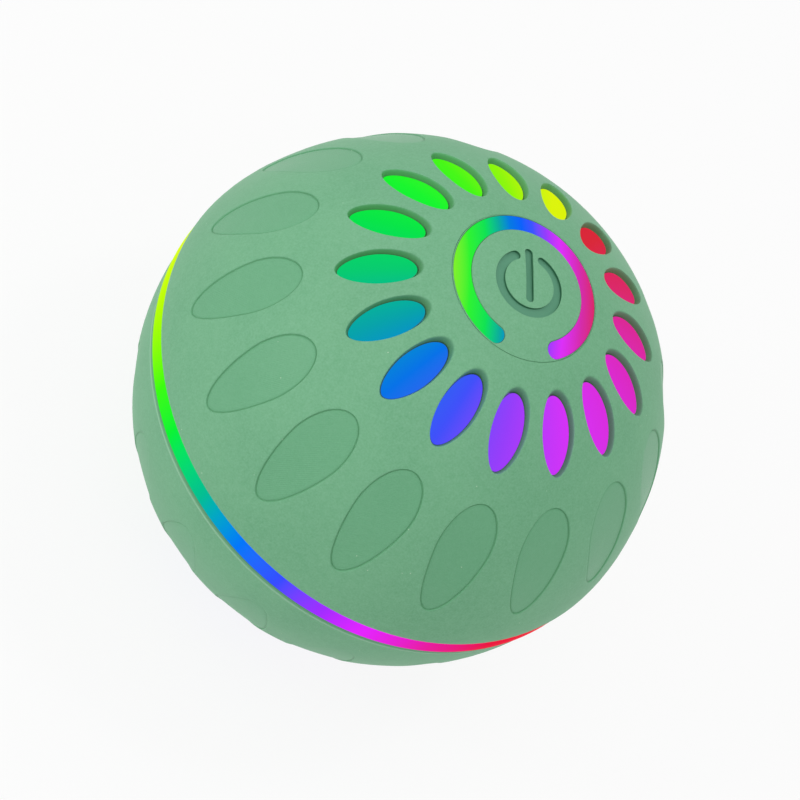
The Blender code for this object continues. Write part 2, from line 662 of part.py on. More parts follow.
def top_shell():
    """Upper half of the translucent ball, with a well for the button and posts for the screws and the board."""
    well_angle = angle_at_radius(WELL_RADIUS, SHELL_INSET)
    rim_angle = angle_at_height(SHELL_RIM_HEIGHT, SHELL_INSET)
    profile = [(STEM_HOLE_RADIUS, WELL_FLOOR_HEIGHT), (WELL_RADIUS, WELL_FLOOR_HEIGHT)]
    profile += dome_arc(SHELL_INSET, well_angle, rim_angle)[:-1]
    profile += shell_rim_and_back(FLOOR_LOW)
    profile.append((STEM_HOLE_RADIUS, FLOOR_LOW))
    shell = turned("top_shell", profile, LIT_WHITE, BALL_FACETS, ring=True)
    places = [(x, y, SHELL_POST_RADIUS, POST_END_HEIGHT, POLAR_HALF_HEIGHT) for x, y in post_places()]
    add_posts(shell, "top_shell_posts", places)
    board_low = BUTTON_BOARD_TOP + SEAT_GAP
    for side in (-1.0, 1.0):
        board_post = [(side * BUTTON_POST_OFFSET, 0.0, SMALL_POST_RADIUS, board_low, FLOOR_LOW + FLOOR_THICKNESS / 2)]
        combine(shell, rods(f"button_post_{side:.0f}", board_post, facets=SMALL_FACETS), "UNION")
    pilots = [(x, y, SHELL_PILOT_RADIUS, -OVERRUN, SHELL_GRIP + FIT_GAP + OVERRUN) for x, y in post_places()]
    for side in (-1.0, 1.0):
        top = board_low + SMALL_GRIP + FIT_GAP
        pilots.append((side * BUTTON_POST_OFFSET, 0.0, SMALL_PILOT_RADIUS, board_low - OVERRUN, top))
    combine(shell, rods("top_shell_pilots", pilots, facets=PILOT_FACETS), "DIFFERENCE")


def bottom_shell():
    """Lower half of the translucent ball, with counterbored posts and the opening of the charging port."""
    rim_angle = angle_at_height(SHELL_RIM_HEIGHT, SHELL_INSET)
    outer = dome_arc(SHELL_INSET, 0.0, rim_angle)[:-1]
    profile = outer + shell_rim_and_back(SHELL_BACK_POLE)
    shell = turned("bottom_shell", upside_down(profile), LIT_WHITE, BALL_FACETS)
    places = [(x, y, LOWER_POST_RADIUS, -POLAR_HALF_HEIGHT, -POST_END_HEIGHT) for x, y in post_places()]
    post_top = CHARGE_BOARD_LOW - SEAT_GAP
    for side in (-1.0, 1.0):
        places.append((0.0, side * CHARGE_POST_OFFSET, SMALL_POST_RADIUS, -POLAR_HALF_HEIGHT, post_top))
    add_posts(shell, "bottom_shell_posts", places)
    bores = [(x, y, COUNTERBORE_RADIUS, -POLAR_HALF_HEIGHT, -SHELL_SEAT_DEPTH) for x, y in post_places()]
    combine(shell, rods("bottom_shell_counterbores", bores, facets=SMALL_FACETS), "DIFFERENCE")
    pilots = [(x, y, SHELL_PILOT_RADIUS, -SHELL_SEAT_DEPTH - OVERRUN, OVERRUN) for x, y in post_places()]
    for side in (-1.0, 1.0):
        low = post_top - SMALL_GRIP - FIT_GAP
        pilots.append((0.0, side * CHARGE_POST_OFFSET, SMALL_PILOT_RADIUS, low, post_top + OVERRUN))
    combine(shell, rods("bottom_shell_pilots", pilots, facets=PILOT_FACETS), "DIFFERENCE")
    mouth = stadium(PORT_HALF_WIDTH + FIT_GAP, PORT_HALF_HEIGHT + FIT_GAP)
    low = -POLAR_HALF_HEIGHT - OVERRUN
    high = -SHELL_BACK_POLE + SHELL_THICKNESS
    combine(shell, plate("port_opening", [mouth], low, high, None), "DIFFERENCE")
    tether = [(TETHER_OFFSET + FIT_GAP, 0.0, TETHER_RADIUS + FIT_GAP, low, high)]
    combine(shell, rods("tether_hole", tether, facets=PILOT_FACETS), "DIFFERENCE")


def light_band():
    """The lit ring round the equator: a head that shows between the skins and a web between the shells."""
    neck = BALL_RADIUS - SHELL_INSET + SEAT_GAP
    inner = BALL_RADIUS - SHELL_BACK_INSET - BAND_WEB_MARGIN
    upper = [
        (inner, BAND_WEB_HALF_HEIGHT),
        (neck, BAND_WEB_HALF_HEIGHT),
        (neck, BAND_HALF_HEIGHT),
        (BALL_RADIUS - BAND_RECESS, BAND_HALF_HEIGHT),
    ]
    turned("light_band", upper + upside_down(upper), LIT_WHITE, BALL_FACETS, ring=True)


def seals():
    """A seal in each shell's rebate, against the band's web."""
    back = dome_point(angle_at_height(REBATE_HEIGHT, SHELL_BACK_INSET), SHELL_BACK_INSET)[0]
    low = BAND_WEB_HALF_HEIGHT + SEAT_GAP
    tube("upper_seal", back, back + SEAL_WIDTH, low, low + SEAL_HEIGHT, SEAL_GREY, BALL_FACETS)
    tube("lower_seal", back, back + SEAL_WIDTH, -low - SEAL_HEIGHT, -low, SEAL_GREY, BALL_FACETS)


def proud_height(radius):
    """Height of the button and of its ring of light, which stand a little proud of the skin."""
    return dome_height(radius, 0.0) + CAP_PROUD


def ring_gap(margin):
    """The gap in the ring of light seen from above, towards -Y between the ring's round ends."""
    half = RING_WIDTH / 2 + margin
    left = -math.pi / 2 - RING_END_ANGLE
    right = -math.pi / 2 + RING_END_ANGLE
    outline = arc(RING_MIDDLE_RADIUS + half + OVERRUN, left, right, 7)
    place = (RING_MIDDLE_RADIUS * math.cos(right), RING_MIDDLE_RADIUS * math.sin(right))
    outline += arc(half, right, right - math.pi, 7, *place)
    outline += arc(RING_MIDDLE_RADIUS - half - OVERRUN, right, left, 5)
    place = (RING_MIDDLE_RADIUS * math.cos(left), RING_MIDDLE_RADIUS * math.sin(left))
    outline += arc(half, left + math.pi, left, 7, *place)
    return outline


def ring_light_guide():
    """The C-shaped light guide: a domed ring with a step over the button's lip, open towards -Y."""
    step_radius = LIP_RADIUS + FIT_GAP
    low = WELL_FLOOR_HEIGHT + SEAT_GAP
    profile = [
        (RING_INNER_RADIUS, proud_height(RING_INNER_RADIUS)),
        (RING_MIDDLE_RADIUS, proud_height(RING_MIDDLE_RADIUS)),
        (RING_OUTER_RADIUS, proud_height(RING_OUTER_RADIUS)),
        (RING_OUTER_RADIUS, low),
        (step_radius, low),
        (step_radius, RING_STEP_HEIGHT),
        (RING_INNER_RADIUS, RING_STEP_HEIGHT),
    ]
    guide = turned("ring_light_guide", profile, LIT_WHITE, BALL_FACETS, ring=True)
    gap = plate("ring_gap", [ring_gap(0.0)], FLOOR_LOW, POLAR_HALF_HEIGHT + OVERRUN, None)
    combine(guide, gap, "DIFFERENCE")


def button_cap():
    """The button: an island inside the ring of light, a tongue out through the ring's gap, a lip and a stem."""
    top = [(share * ISLAND_RADIUS, proud_height(share * ISLAND_RADIUS)) for share in (0.0, 0.5, 1.0)]
    under = dome_height(0.0, 0.0) - BUTTON_TOP_THICKNESS
    profile = top + [
        (ISLAND_RADIUS, LIP_HIGH),
        (LIP_RADIUS, LIP_HIGH),
        (LIP_RADIUS, LIP_LOW),
        (ISLAND_RADIUS - BUTTON_WALL, LIP_LOW),
        (ISLAND_RADIUS - BUTTON_WALL, dome_height(ISLAND_RADIUS, 0.0) - BUTTON_TOP_THICKNESS),
        (BUTTON_STEM_RADIUS, under),
        (BUTTON_STEM_RADIUS, STEM_END),
        (0.0, STEM_END),
    ]
    cap = turned("button_cap", profile, BUTTON_GREEN, BALL_FACETS)
    root = ISLAND_RADIUS - BUTTON_WALL / 2
    low = LIP_HIGH - BUTTON_LIP_HEIGHT / 2
    reach = [(root, proud_height(root)), (RING_OUTER_RADIUS, proud_height(RING_OUTER_RADIUS))]
    tongue = turned("tongue", [*reach, (RING_OUTER_RADIUS, low), (root, low)], None, BALL_FACETS, ring=True)
    side = plate("tongue_side", [ring_gap(RING_CLEARANCE)], FLOOR_LOW, POLAR_HALF_HEIGHT + OVERRUN, None)
    combine(tongue, side, "INTERSECT")
    combine(cap, tongue, "UNION")


def button_seal():
    """Silicone washer on the well's floor, round the button's stem."""
    low = WELL_FLOOR_HEIGHT + SEAT_GAP
    inner = BUTTON_STEM_RADIUS + FIT_GAP
    tube("button_seal", inner, SEAL_DISC_RADIUS, low, low + SEAL_DISC_HEIGHT, SEAL_GREY)


def led_places():
    steps = [math.pi / 4 + math.pi / 2 * i for i in range(4)]
    return [(LED_RING_RADIUS * math.cos(a), LED_RING_RADIUS * math.sin(a)) for a in steps]


def switch_and_board():
    """The tact switch, its plunger, the lamps and the round board that two screws hold to the top shell."""
    middle = (SWITCH_LOW + SWITCH_TOP) / 2
    body = boxes("switch_body", [((0.0, 0.0, middle), (SWITCH_SIDE, SWITCH_SIDE, SWITCH_HEIGHT))], CHIP_BLACK)
    bore = [(0.0, 0.0, PLUNGER_RADIUS + RUNNING_GAP, SWITCH_TOP - SWITCH_BORE_DEPTH, SWITCH_TOP + OVERRUN)]
    combine(body, rods("switch_bore", bore), "DIFFERENCE")
    low = SWITCH_TOP - SWITCH_BORE_DEPTH + BUTTON_TRAVEL + FIT_GAP
    rod("switch_plunger", PLUNGER_RADIUS, low, PLUNGER_TOP, NYLON)
    board = rod("button_board", BUTTON_BOARD_RADIUS, BUTTON_BOARD_LOW, BUTTON_BOARD_TOP, BOARD_GREEN)
    holes = []
    for i, side in enumerate((-1.0, 1.0)):
        place = (side * BUTTON_POST_OFFSET, 0.0)
        holes.append((*place, SMALL_PILOT_RADIUS, BUTTON_BOARD_LOW - OVERRUN, BUTTON_BOARD_TOP + OVERRUN))
        small_screw(f"button_board_screw_{i + 1}", place, BUTTON_BOARD_LOW, 1.0)
    combine(board, rods("button_board_holes", holes, facets=PILOT_FACETS), "DIFFERENCE")
    for i, (x, y) in enumerate(led_places()):
        centre = (x, y, BUTTON_BOARD_TOP + SEAT_GAP + LED_HEIGHT / 2)
        boxes(f"top_led_{i + 1}", [(centre, (LED_SIDE, LED_SIDE, LED_HEIGHT))], LED_WHITE, BOARD_EDGE)


def screw(name, at, seat, up, head_radius, head_height, shank_radius, grip):
    """A pan-head screw whose head bears on the seat's height and whose shank points up, or down if up is -1."""
    profile = [
        (0.0, grip),
        (shank_radius, grip),
        (shank_radius, -SEAT_GAP),
        (head_radius, -SEAT_GAP),
        (head_radius - head_height / 2, -SEAT_GAP - head_height),
        (0.0, -SEAT_GAP - head_height),
    ]
    obj = turned(name, profile, STEEL, PILOT_FACETS, at=at)
    obj.location.z = seat
    if up < 0.0:
        obj.rotation_euler.x = math.pi


def small_screw(name, at, seat, up):
    grip = BOARD_THICKNESS + SMALL_GRIP
    screw(name, at, seat, up, SMALL_HEAD_RADIUS, SMALL_HEAD_HEIGHT, SMALL_SHANK_RADIUS, grip)


def shell_screws():
    """The screws that pull the two shells and the chassis plate together, driven from under the lower skin."""
    grip = SHELL_SEAT_DEPTH + SHELL_GRIP
    for i, place in enumerate(post_places()):
        name = f"shell_screw_{i + 1}"
        screw(name, place, -SHELL_SEAT_DEPTH, 1.0, SHELL_HEAD_RADIUS, SHELL_HEAD_HEIGHT, SHELL_SHANK_RADIUS, grip)


def cover_corners():
    """The corners of the gearbox cover: three standoffs clear of the gears, and the idler's pin."""
    margin = SMALL_POST_RADIUS + FIT_GAP
    reach = OUTPUT_TIP_RADIUS + margin
    right = (reach * math.cos(-30.0 * DEG), reach * math.sin(-30.0 * DEG))
    along = (reach**2 - (IDLER_TIP_RADIUS + margin) ** 2 + STAGE_TWO_DISTANCE**2) / (2 * STAGE_TWO_DISTANCE)
    aside = math.sqrt(reach**2 - along**2)
    run, rise = IDLER_X / STAGE_TWO_DISTANCE, IDLER_Y / STAGE_TWO_DISTANCE
    back = (along * run + aside * rise, along * rise - aside * run)
    left = (MOTOR_X, -MOTOR_RADIUS)
    return right, back, (IDLER_X, IDLER_Y), left


def standoffs():
    right, back, _, left = cover_corners()
    return right, back, left


def strap_feet():
    """The middle of each foot of the battery strap."""
    reach = BATTERY_RADIUS + FIT_GAP + STRAP_THICKNESS + STRAP_FOOT / 2
    return [(BATTERY_X - reach, STRAP_Y), (BATTERY_X + reach, STRAP_Y)]


def motor_screw_places():
    return [(MOTOR_X - MOTOR_SCREW_OFFSET, 0.0), (MOTOR_X + MOTOR_SCREW_OFFSET, 0.0)]


def chassis_plate():
    """The plate between the shells, with the shaft's hub, the board's posts and the battery's saddles."""
    top = PLATE_HALF_THICKNESS
    body = rod("chassis_plate", PLATE_RADIUS, -top, top, CHASSIS_WHITE, BALL_FACETS)
    inner = -top / 2
    post_top = MAIN_BOARD_HEIGHT - SEAT_GAP
    raised = [(0.0, 0.0, HUB_RADIUS, inner, HUB_TOP)]
    raised += [(BOARD_POST_X, side * BOARD_POST_Y, SMALL_POST_RADIUS, inner, post_top) for side in (-1.0, 1.0)]
    combine(body, rods("chassis_posts", raised, facets=SMALL_FACETS), "UNION")
    saddles = []
    for side in (-1.0, 1.0):
        centre = (BATTERY_X, side * SADDLE_OFFSET, (SADDLE_HEIGHT + top + inner) / 2)
        saddles.append((centre, (2 * BATTERY_RADIUS, SADDLE_WIDTH, SADDLE_HEIGHT + top - inner)))
    ribs = boxes("battery_saddles", saddles)
    cell = rods("battery_room", [(0.0, 0.0, BATTERY_RADIUS + FIT_GAP, -BATTERY_LENGTH, BATTERY_LENGTH)])
    cell.rotation_euler.x = math.pi / 2
    cell.location = (BATTERY_X, 0.0, BATTERY_Z)
    combine(ribs, cell, "DIFFERENCE")
    combine(body, ribs, "UNION")
    small = [(x, y, SHELL_PILOT_RADIUS, -top - OVERRUN, top + OVERRUN) for x, y in post_places()]
    small += [(x, y, SMALL_PILOT_RADIUS, -top - OVERRUN, top + OVERRUN) for x, y in standoffs()]
    small += [(x, y, SMALL_PILOT_RADIUS, -top - OVERRUN, top + OVERRUN) for x, y in strap_feet()]
    small += [(x, y, SMALL_PILOT_RADIUS, -top - OVERRUN, top + OVERRUN) for x, y in motor_screw_places()]
    head_room = SMALL_HEAD_RADIUS + FIT_GAP
    head_top = -top + SMALL_HEAD_HEIGHT + SEAT_GAP
    sunk = [(x, y, head_room, -top - OVERRUN, head_top) for x, y in motor_screw_places()]
    small.append((IDLER_X, IDLER_Y, IDLER_PIN_RADIUS + SEAT_GAP, -top - OVERRUN, top + OVERRUN))
    pilot_low = post_top - SMALL_GRIP - FIT_GAP
    for side in (-1.0, 1.0):
        small.append((BOARD_POST_X, side * BOARD_POST_Y, SMALL_PILOT_RADIUS, pilot_low, post_top + OVERRUN))
    small.append((MOTOR_X, 0.0, 2 * MOTOR_SHAFT_RADIUS, -top - OVERRUN, top + OVERRUN))
    small.append((CHARGE_LEAD_X, CHARGE_LEAD_Y, LEAD_OFFSET, -top - OVERRUN, top + OVERRUN))
    combine(body, rods("chassis_bores", small, facets=PILOT_FACETS), "DIFFERENCE")
    combine(body, rods("motor_screw_seats", sunk, facets=SMALL_FACETS), "DIFFERENCE")
    hub = [(0.0, 0.0, BUSH_SEAT_RADIUS, -top - OVERRUN, HUB_TOP + OVERRUN)]
    combine(body, rods("hub_bore", hub), "DIFFERENCE")


def battery():
    """A round cell lying along Y in the chassis saddles, under a strap with a foot either side."""
    half = BATTERY_LENGTH / 2
    body_top = half - BATTERY_NUB_LENGTH
    profile = [
        (0.0, half),
        (BATTERY_NUB_RADIUS, half),
        (BATTERY_NUB_RADIUS, body_top),
        (BATTERY_RADIUS - BATTERY_EDGE, body_top),
        (BATTERY_RADIUS, body_top - BATTERY_EDGE),
        (BATTERY_RADIUS, -half + BATTERY_EDGE),
        (BATTERY_RADIUS - BATTERY_EDGE, -half),
        (0.0, -half),
    ]
    cell = turned("battery_cell", profile, BATTERY_BLUE)
    cell.rotation_euler.x = math.pi / 2
    cell.location = (BATTERY_X, 0.0, BATTERY_Z)
    inner = BATTERY_RADIUS + FIT_GAP
    outer = inner + STRAP_THICKNESS
    foot_low = PLATE_HALF_THICKNESS + SEAT_GAP - BATTERY_Z
    foot_high = foot_low + STRAP_THICKNESS
    reach = outer + STRAP_FOOT
    outline = [(reach, foot_low), (reach, foot_high), (outer, foot_high)]
    outline += arc(outer, 0.0, math.pi, 13)
    outline += [(-outer, foot_high), (-reach, foot_high), (-reach, foot_low), (-inner, foot_low)]
    outline += arc(inner, math.pi, 0.0, 13) + [(inner, foot_low)]
    strap = plate("battery_strap", [outline], -STRAP_WIDTH / 2, STRAP_WIDTH / 2, NYLON)
    strap.rotation_euler.x = math.pi / 2
    strap.location = (BATTERY_X, STRAP_Y, BATTERY_Z)
    holes = []
    for i, (x, y) in enumerate(strap_feet()):
        top = PLATE_HALF_THICKNESS + SEAT_GAP + STRAP_THICKNESS
        holes.append((x, y, SMALL_PILOT_RADIUS, 0.0, top + OVERRUN))
        grip = STRAP_THICKNESS + SEAT_GAP + 2 * PLATE_HALF_THICKNESS
        name = f"strap_screw_{i + 1}"
        screw(name, (x, y), top, -1.0, SMALL_HEAD_RADIUS, SMALL_HEAD_HEIGHT, SMALL_SHANK_RADIUS, grip)
    combine(strap, rods("strap_holes", holes, facets=PILOT_FACETS), "DIFFERENCE")


def motor():
    """A small motor standing on the chassis plate, its shaft pointing down through it."""
    bore = MOTOR_SHAFT_RADIUS + RUNNING_GAP
    blind = MOTOR_SHAFT_TOP + FIT_GAP
    profile = [
        (0.0, MOTOR_TOP),
        (MOTOR_RADIUS - MOTOR_EDGE, MOTOR_TOP),
        (MOTOR_RADIUS, MOTOR_TOP - MOTOR_EDGE),
        (MOTOR_RADIUS, MOTOR_LOW),
        (bore, MOTOR_LOW),
        (bore, blind),
        (0.0, blind),
    ]
    at = (MOTOR_X, 0.0)
    can = turned("motor_can", profile, STEEL, at=at)
    holes = []
    sunk_seat = -PLATE_HALF_THICKNESS + SMALL_HEAD_HEIGHT + SEAT_GAP
    grip = PLATE_HALF_THICKNESS - sunk_seat + SEAT_GAP + SMALL_GRIP / 2
    for i, (x, y) in enumerate(motor_screw_places()):
        holes.append((x, y, SMALL_PILOT_RADIUS, MOTOR_LOW - OVERRUN, sunk_seat + grip + FIT_GAP))
        name = f"motor_screw_{i + 1}"
        screw(name, (x, y), sunk_seat, 1.0, SMALL_HEAD_RADIUS, SMALL_HEAD_HEIGHT, SMALL_SHANK_RADIUS, grip)
    combine(can, rods("motor_holes", holes, facets=PILOT_FACETS), "DIFFERENCE")
    cap_low = MOTOR_TOP + SEAT_GAP
    rod("motor_end_cap", MOTOR_CAP_RADIUS, cap_low, cap_low + MOTOR_CAP_HEIGHT, CHIP_BLACK, at=at)
    rod("motor_shaft", MOTOR_SHAFT_RADIUS, STAGE_ONE_LOW, MOTOR_SHAFT_TOP, STEEL, at=at)


def gear_outline(teeth, turn):
    """An involute gear's outline. A small gear's curved flank has a point more, on its pitch circle."""
    pitch = GEAR_MODULE * teeth / 2
    base = pitch * math.cos(PRESSURE_ANGLE)
    root = pitch - DEDENDUM_SHARE * GEAR_MODULE
    tip = pitch + ADDENDUM_SHARE * GEAR_MODULE
    half_at_pitch = math.pi / (2 * teeth) - BACKLASH / (4 * pitch)

    def roll(radius):
        if radius <= base:
            return 0.0
        slope = math.sqrt((radius / base) ** 2 - 1.0)
        return slope - math.atan(slope)

    radii = (root, tip) if teeth > 2 * PINION_TEETH else (root, pitch, tip)
    flank = [(radius, half_at_pitch + roll(pitch) - roll(radius)) for radius in radii]
    outline = []
    for i in range(teeth):
        middle = turn + 2 * math.pi * i / teeth
        outline += [(radius * math.cos(middle - half), radius * math.sin(middle - half)) for radius, half in flank]
        back = reversed(flank)
        outline += [(radius * math.cos(middle + half), radius * math.sin(middle + half)) for radius, half in back]
    return outline


def gear(name, teeth, turn, bore, low, high, surface, at):
    made = plate(name, [gear_outline(teeth, turn), circle(bore, SMALL_FACETS)], low, high, surface)
    made.location = (at[0], at[1], 0.0)
    return made


def gears():
    """The pinion drives the idler's large gear, and the idler's small gear drives the output gear."""
    to_idler = math.atan2(IDLER_Y, IDLER_X - MOTOR_X)
    to_output = math.atan2(-IDLER_Y, -IDLER_X)
    pinion_bore = MOTOR_SHAFT_RADIUS + SEAT_GAP
    at = (MOTOR_X, 0.0)
    gear("motor_pinion", PINION_TEETH, to_idler, pinion_bore, STAGE_ONE_LOW, STAGE_ONE_TOP, BRASS, at)
    idler_bore = IDLER_PIN_RADIUS + RUNNING_GAP
    idler_turn = to_idler + math.pi + math.pi / IDLER_TEETH
    at = (IDLER_X, IDLER_Y)
    idler = gear("idler_gear", IDLER_TEETH, idler_turn, idler_bore, STAGE_ONE_LOW, STAGE_ONE_TOP, NYLON, at)
    joined = STAGE_ONE_LOW + STAGE_ONE_FACE / 2
    small = gear("idler_small_gear", IDLER_PINION_TEETH, to_output, idler_bore, STAGE_TWO_LOW, joined, None, at)
    combine(idler, small, "UNION")
    output_turn = to_output + math.pi + math.pi / OUTPUT_TEETH
    bore = SHAFT_RADIUS + SEAT_GAP
    at = (0.0, 0.0)
    gear("output_gear", OUTPUT_TEETH, output_turn, bore, STAGE_TWO_LOW, STAGE_TWO_TOP, NYLON, at)
    low = COVER_LOW + SEAT_GAP
    high = PLATE_HALF_THICKNESS - SEAT_GAP
    rod("idler_pin", IDLER_PIN_RADIUS, low, high, STEEL, SMALL_FACETS, at=(IDLER_X, IDLER_Y))


def gearbox_cover():
    """The plate under the gears, on three standoffs, which holds the lower bush and the idler's pin."""
    cover = plate("gearbox_cover", [rounded_hull(cover_corners(), COVER_CORNER_RADIUS)], COVER_LOW, COVER_TOP, NYLON)
    joined = COVER_TOP - COVER_THICKNESS / 2
    high = -PLATE_HALF_THICKNESS - SEAT_GAP
    raised = [(x, y, SMALL_POST_RADIUS, joined, high) for x, y in standoffs()]
    combine(cover, rods("cover_standoffs", raised, facets=SMALL_FACETS), "UNION")
    holes = [(x, y, SMALL_PILOT_RADIUS, COVER_LOW - OVERRUN, high + OVERRUN) for x, y in standoffs()]
    holes.append((IDLER_X, IDLER_Y, IDLER_PIN_RADIUS + SEAT_GAP, COVER_LOW - OVERRUN, COVER_TOP + OVERRUN))
    combine(cover, rods("cover_holes", holes, facets=PILOT_FACETS), "DIFFERENCE")
    seat = [(0.0, 0.0, BUSH_SEAT_RADIUS, COVER_LOW - OVERRUN, COVER_TOP + OVERRUN)]
    combine(cover, rods("cover_bush_seat", seat), "DIFFERENCE")
    grip = PLATE_HALF_THICKNESS - COVER_LOW
    for i, place in enumerate(standoffs()):
        name = f"gearbox_screw_{i + 1}"
        screw(name, place, COVER_LOW, 1.0, SMALL_HEAD_RADIUS, SMALL_HEAD_HEIGHT, SMALL_SHANK_RADIUS, grip)


def bush(name, low, high, flange_at_top):
    """A flanged brass bush, with the flange above or below the wall that holds it."""
    wide = BUSH_RADIUS + BUSH_FLANGE
    if flange_at_top:
        step = high + SEAT_GAP
        profile = [
            (SHAFT_BORE_RADIUS, step + BUSH_FLANGE_HEIGHT),
            (wide, step + BUSH_FLANGE_HEIGHT),
            (wide, step),
            (BUSH_RADIUS, step),
            (BUSH_RADIUS, low),
            (SHAFT_BORE_RADIUS, low),
        ]
    else:
        step = low - SEAT_GAP
        profile = [
            (SHAFT_BORE_RADIUS, high),
            (BUSH_RADIUS, high),
            (BUSH_RADIUS, step),
            (wide, step),
            (wide, step - BUSH_FLANGE_HEIGHT),
            (SHAFT_BORE_RADIUS, step - BUSH_FLANGE_HEIGHT),
        ]
    turned(name, profile, BRASS, SMALL_FACETS, ring=True)


def output_drive():
    """The output shaft in its two bushes, with the eccentric weight and the nut that holds it."""
    bush("upper_bush", -PLATE_HALF_THICKNESS, HUB_TOP, True)
    bush("lower_bush", COVER_LOW, COVER_TOP, False)
    rod("output_shaft", SHAFT_RADIUS, SHAFT_LOW, SHAFT_TOP, STEEL, SMALL_FACETS)
    half = WEIGHT_HALF_ANGLE
    sector = arc(WEIGHT_RADIUS, -half, half, 15) + arc(WEIGHT_INNER_RADIUS, half, -half, 9)
    weight = plate("hammer_weight", [sector], WEIGHT_LOW, WEIGHT_TOP, ZINC)
    reach = (WEIGHT_INNER_RADIUS + WEIGHT_RADIUS) / 2
    arm_sides = (reach, 2 * WEIGHT_ARM_HALF_WIDTH, (WEIGHT_TOP - WEIGHT_LOW) / 2)
    arm = ((reach / 2, 0.0, (WEIGHT_LOW + WEIGHT_TOP) / 2), arm_sides)
    combine(weight, boxes("weight_arm", [arm]), "UNION")
    hub = [(0.0, 0.0, WEIGHT_HUB_RADIUS, WEIGHT_LOW, WEIGHT_TOP)]
    combine(weight, rods("weight_hub", hub), "UNION")
    bore = [(0.0, 0.0, SHAFT_RADIUS + SEAT_GAP, WEIGHT_LOW - OVERRUN, WEIGHT_TOP + OVERRUN)]
    combine(weight, rods("weight_bore", bore, facets=SMALL_FACETS), "DIFFERENCE")
    nut = [circle(NUT_RADIUS, 6), circle(SHAFT_RADIUS + SEAT_GAP, SMALL_FACETS)]
    plate("hammer_nut", nut, NUT_LOW, WEIGHT_LOW - SEAT_GAP, STEEL)


def main_board():
    """The round control board on the chassis posts, with its chip, its motion sensor and its battery socket."""
    board = rod("main_board", MAIN_BOARD_RADIUS, MAIN_BOARD_HEIGHT, MAIN_BOARD_TOP, BOARD_GREEN, BALL_FACETS)
    holes = []
    for i, side in enumerate((-1.0, 1.0)):
        place = (BOARD_POST_X, side * BOARD_POST_Y)
        holes.append((*place, SMALL_PILOT_RADIUS, MAIN_BOARD_HEIGHT - OVERRUN, MAIN_BOARD_TOP + OVERRUN))
        small_screw(f"main_board_screw_{i + 1}", place, MAIN_BOARD_TOP, -1.0)
    combine(board, rods("main_board_holes", holes, facets=PILOT_FACETS), "DIFFERENCE")
    floor = MAIN_BOARD_TOP + SEAT_GAP
    middle = floor + CHIP_HEIGHT / 2
    boxes("controller_chip", [((CHIP_X, 0.0, middle), (CHIP_SIDE, CHIP_SIDE, CHIP_HEIGHT))], CHIP_BLACK, BOARD_EDGE)
    sensor = (SENSOR_SIDE, SENSOR_SIDE, CHIP_HEIGHT)
    boxes("motion_sensor", [((SENSOR_X, 0.0, middle), sensor)], CHIP_BLACK, BOARD_EDGE)
    centre = (CONNECTOR_X, 0.0, floor + CONNECTOR_HEIGHT / 2)
    sides = (CONNECTOR_DEPTH, CONNECTOR_LENGTH, CONNECTOR_HEIGHT)
    boxes("battery_connector", [(centre, sides)], NYLON, BOARD_EDGE)


def charging_port():
    """The charging socket behind the lower pole, on its board, with the board's two screws."""
    shell = plate("usb_port", [stadium(PORT_HALF_WIDTH, PORT_HALF_HEIGHT)], PORT_MOUTH_Z, PORT_BACK_Z, STEEL)
    room = stadium(PORT_HALF_WIDTH - PORT_WALL, PORT_HALF_HEIGHT - PORT_WALL)
    back = PORT_BACK_Z - PORT_BACK
    combine(shell, plate("port_room", [room], PORT_MOUTH_Z - OVERRUN, back, None), "DIFFERENCE")
    low = PORT_MOUTH_Z + TONGUE_SETBACK
    high = back + PORT_BACK / 2
    sides = (2 * TONGUE_HALF_WIDTH, 2 * TONGUE_HALF_HEIGHT, high - low)
    combine(shell, boxes("port_tongue", [((0.0, 0.0, (low + high) / 2), sides)]), "UNION")
    middle = (CHARGE_BOARD_LOW + CHARGE_BOARD_TOP) / 2
    sides = (2 * CHARGE_BOARD_HALF_WIDTH, 2 * CHARGE_BOARD_HALF_LENGTH, BOARD_THICKNESS)
    board = boxes("charge_board", [((0.0, 0.0, middle), sides)], BOARD_GREEN)
    holes = []
    for i, side in enumerate((-1.0, 1.0)):
        place = (0.0, side * CHARGE_POST_OFFSET)
        holes.append((*place, SMALL_PILOT_RADIUS, CHARGE_BOARD_LOW - OVERRUN, CHARGE_BOARD_TOP + OVERRUN))
        small_screw(f"charge_board_screw_{i + 1}", place, CHARGE_BOARD_TOP, -1.0)
    combine(board, rods("charge_board_holes", holes, facets=PILOT_FACETS), "DIFFERENCE")


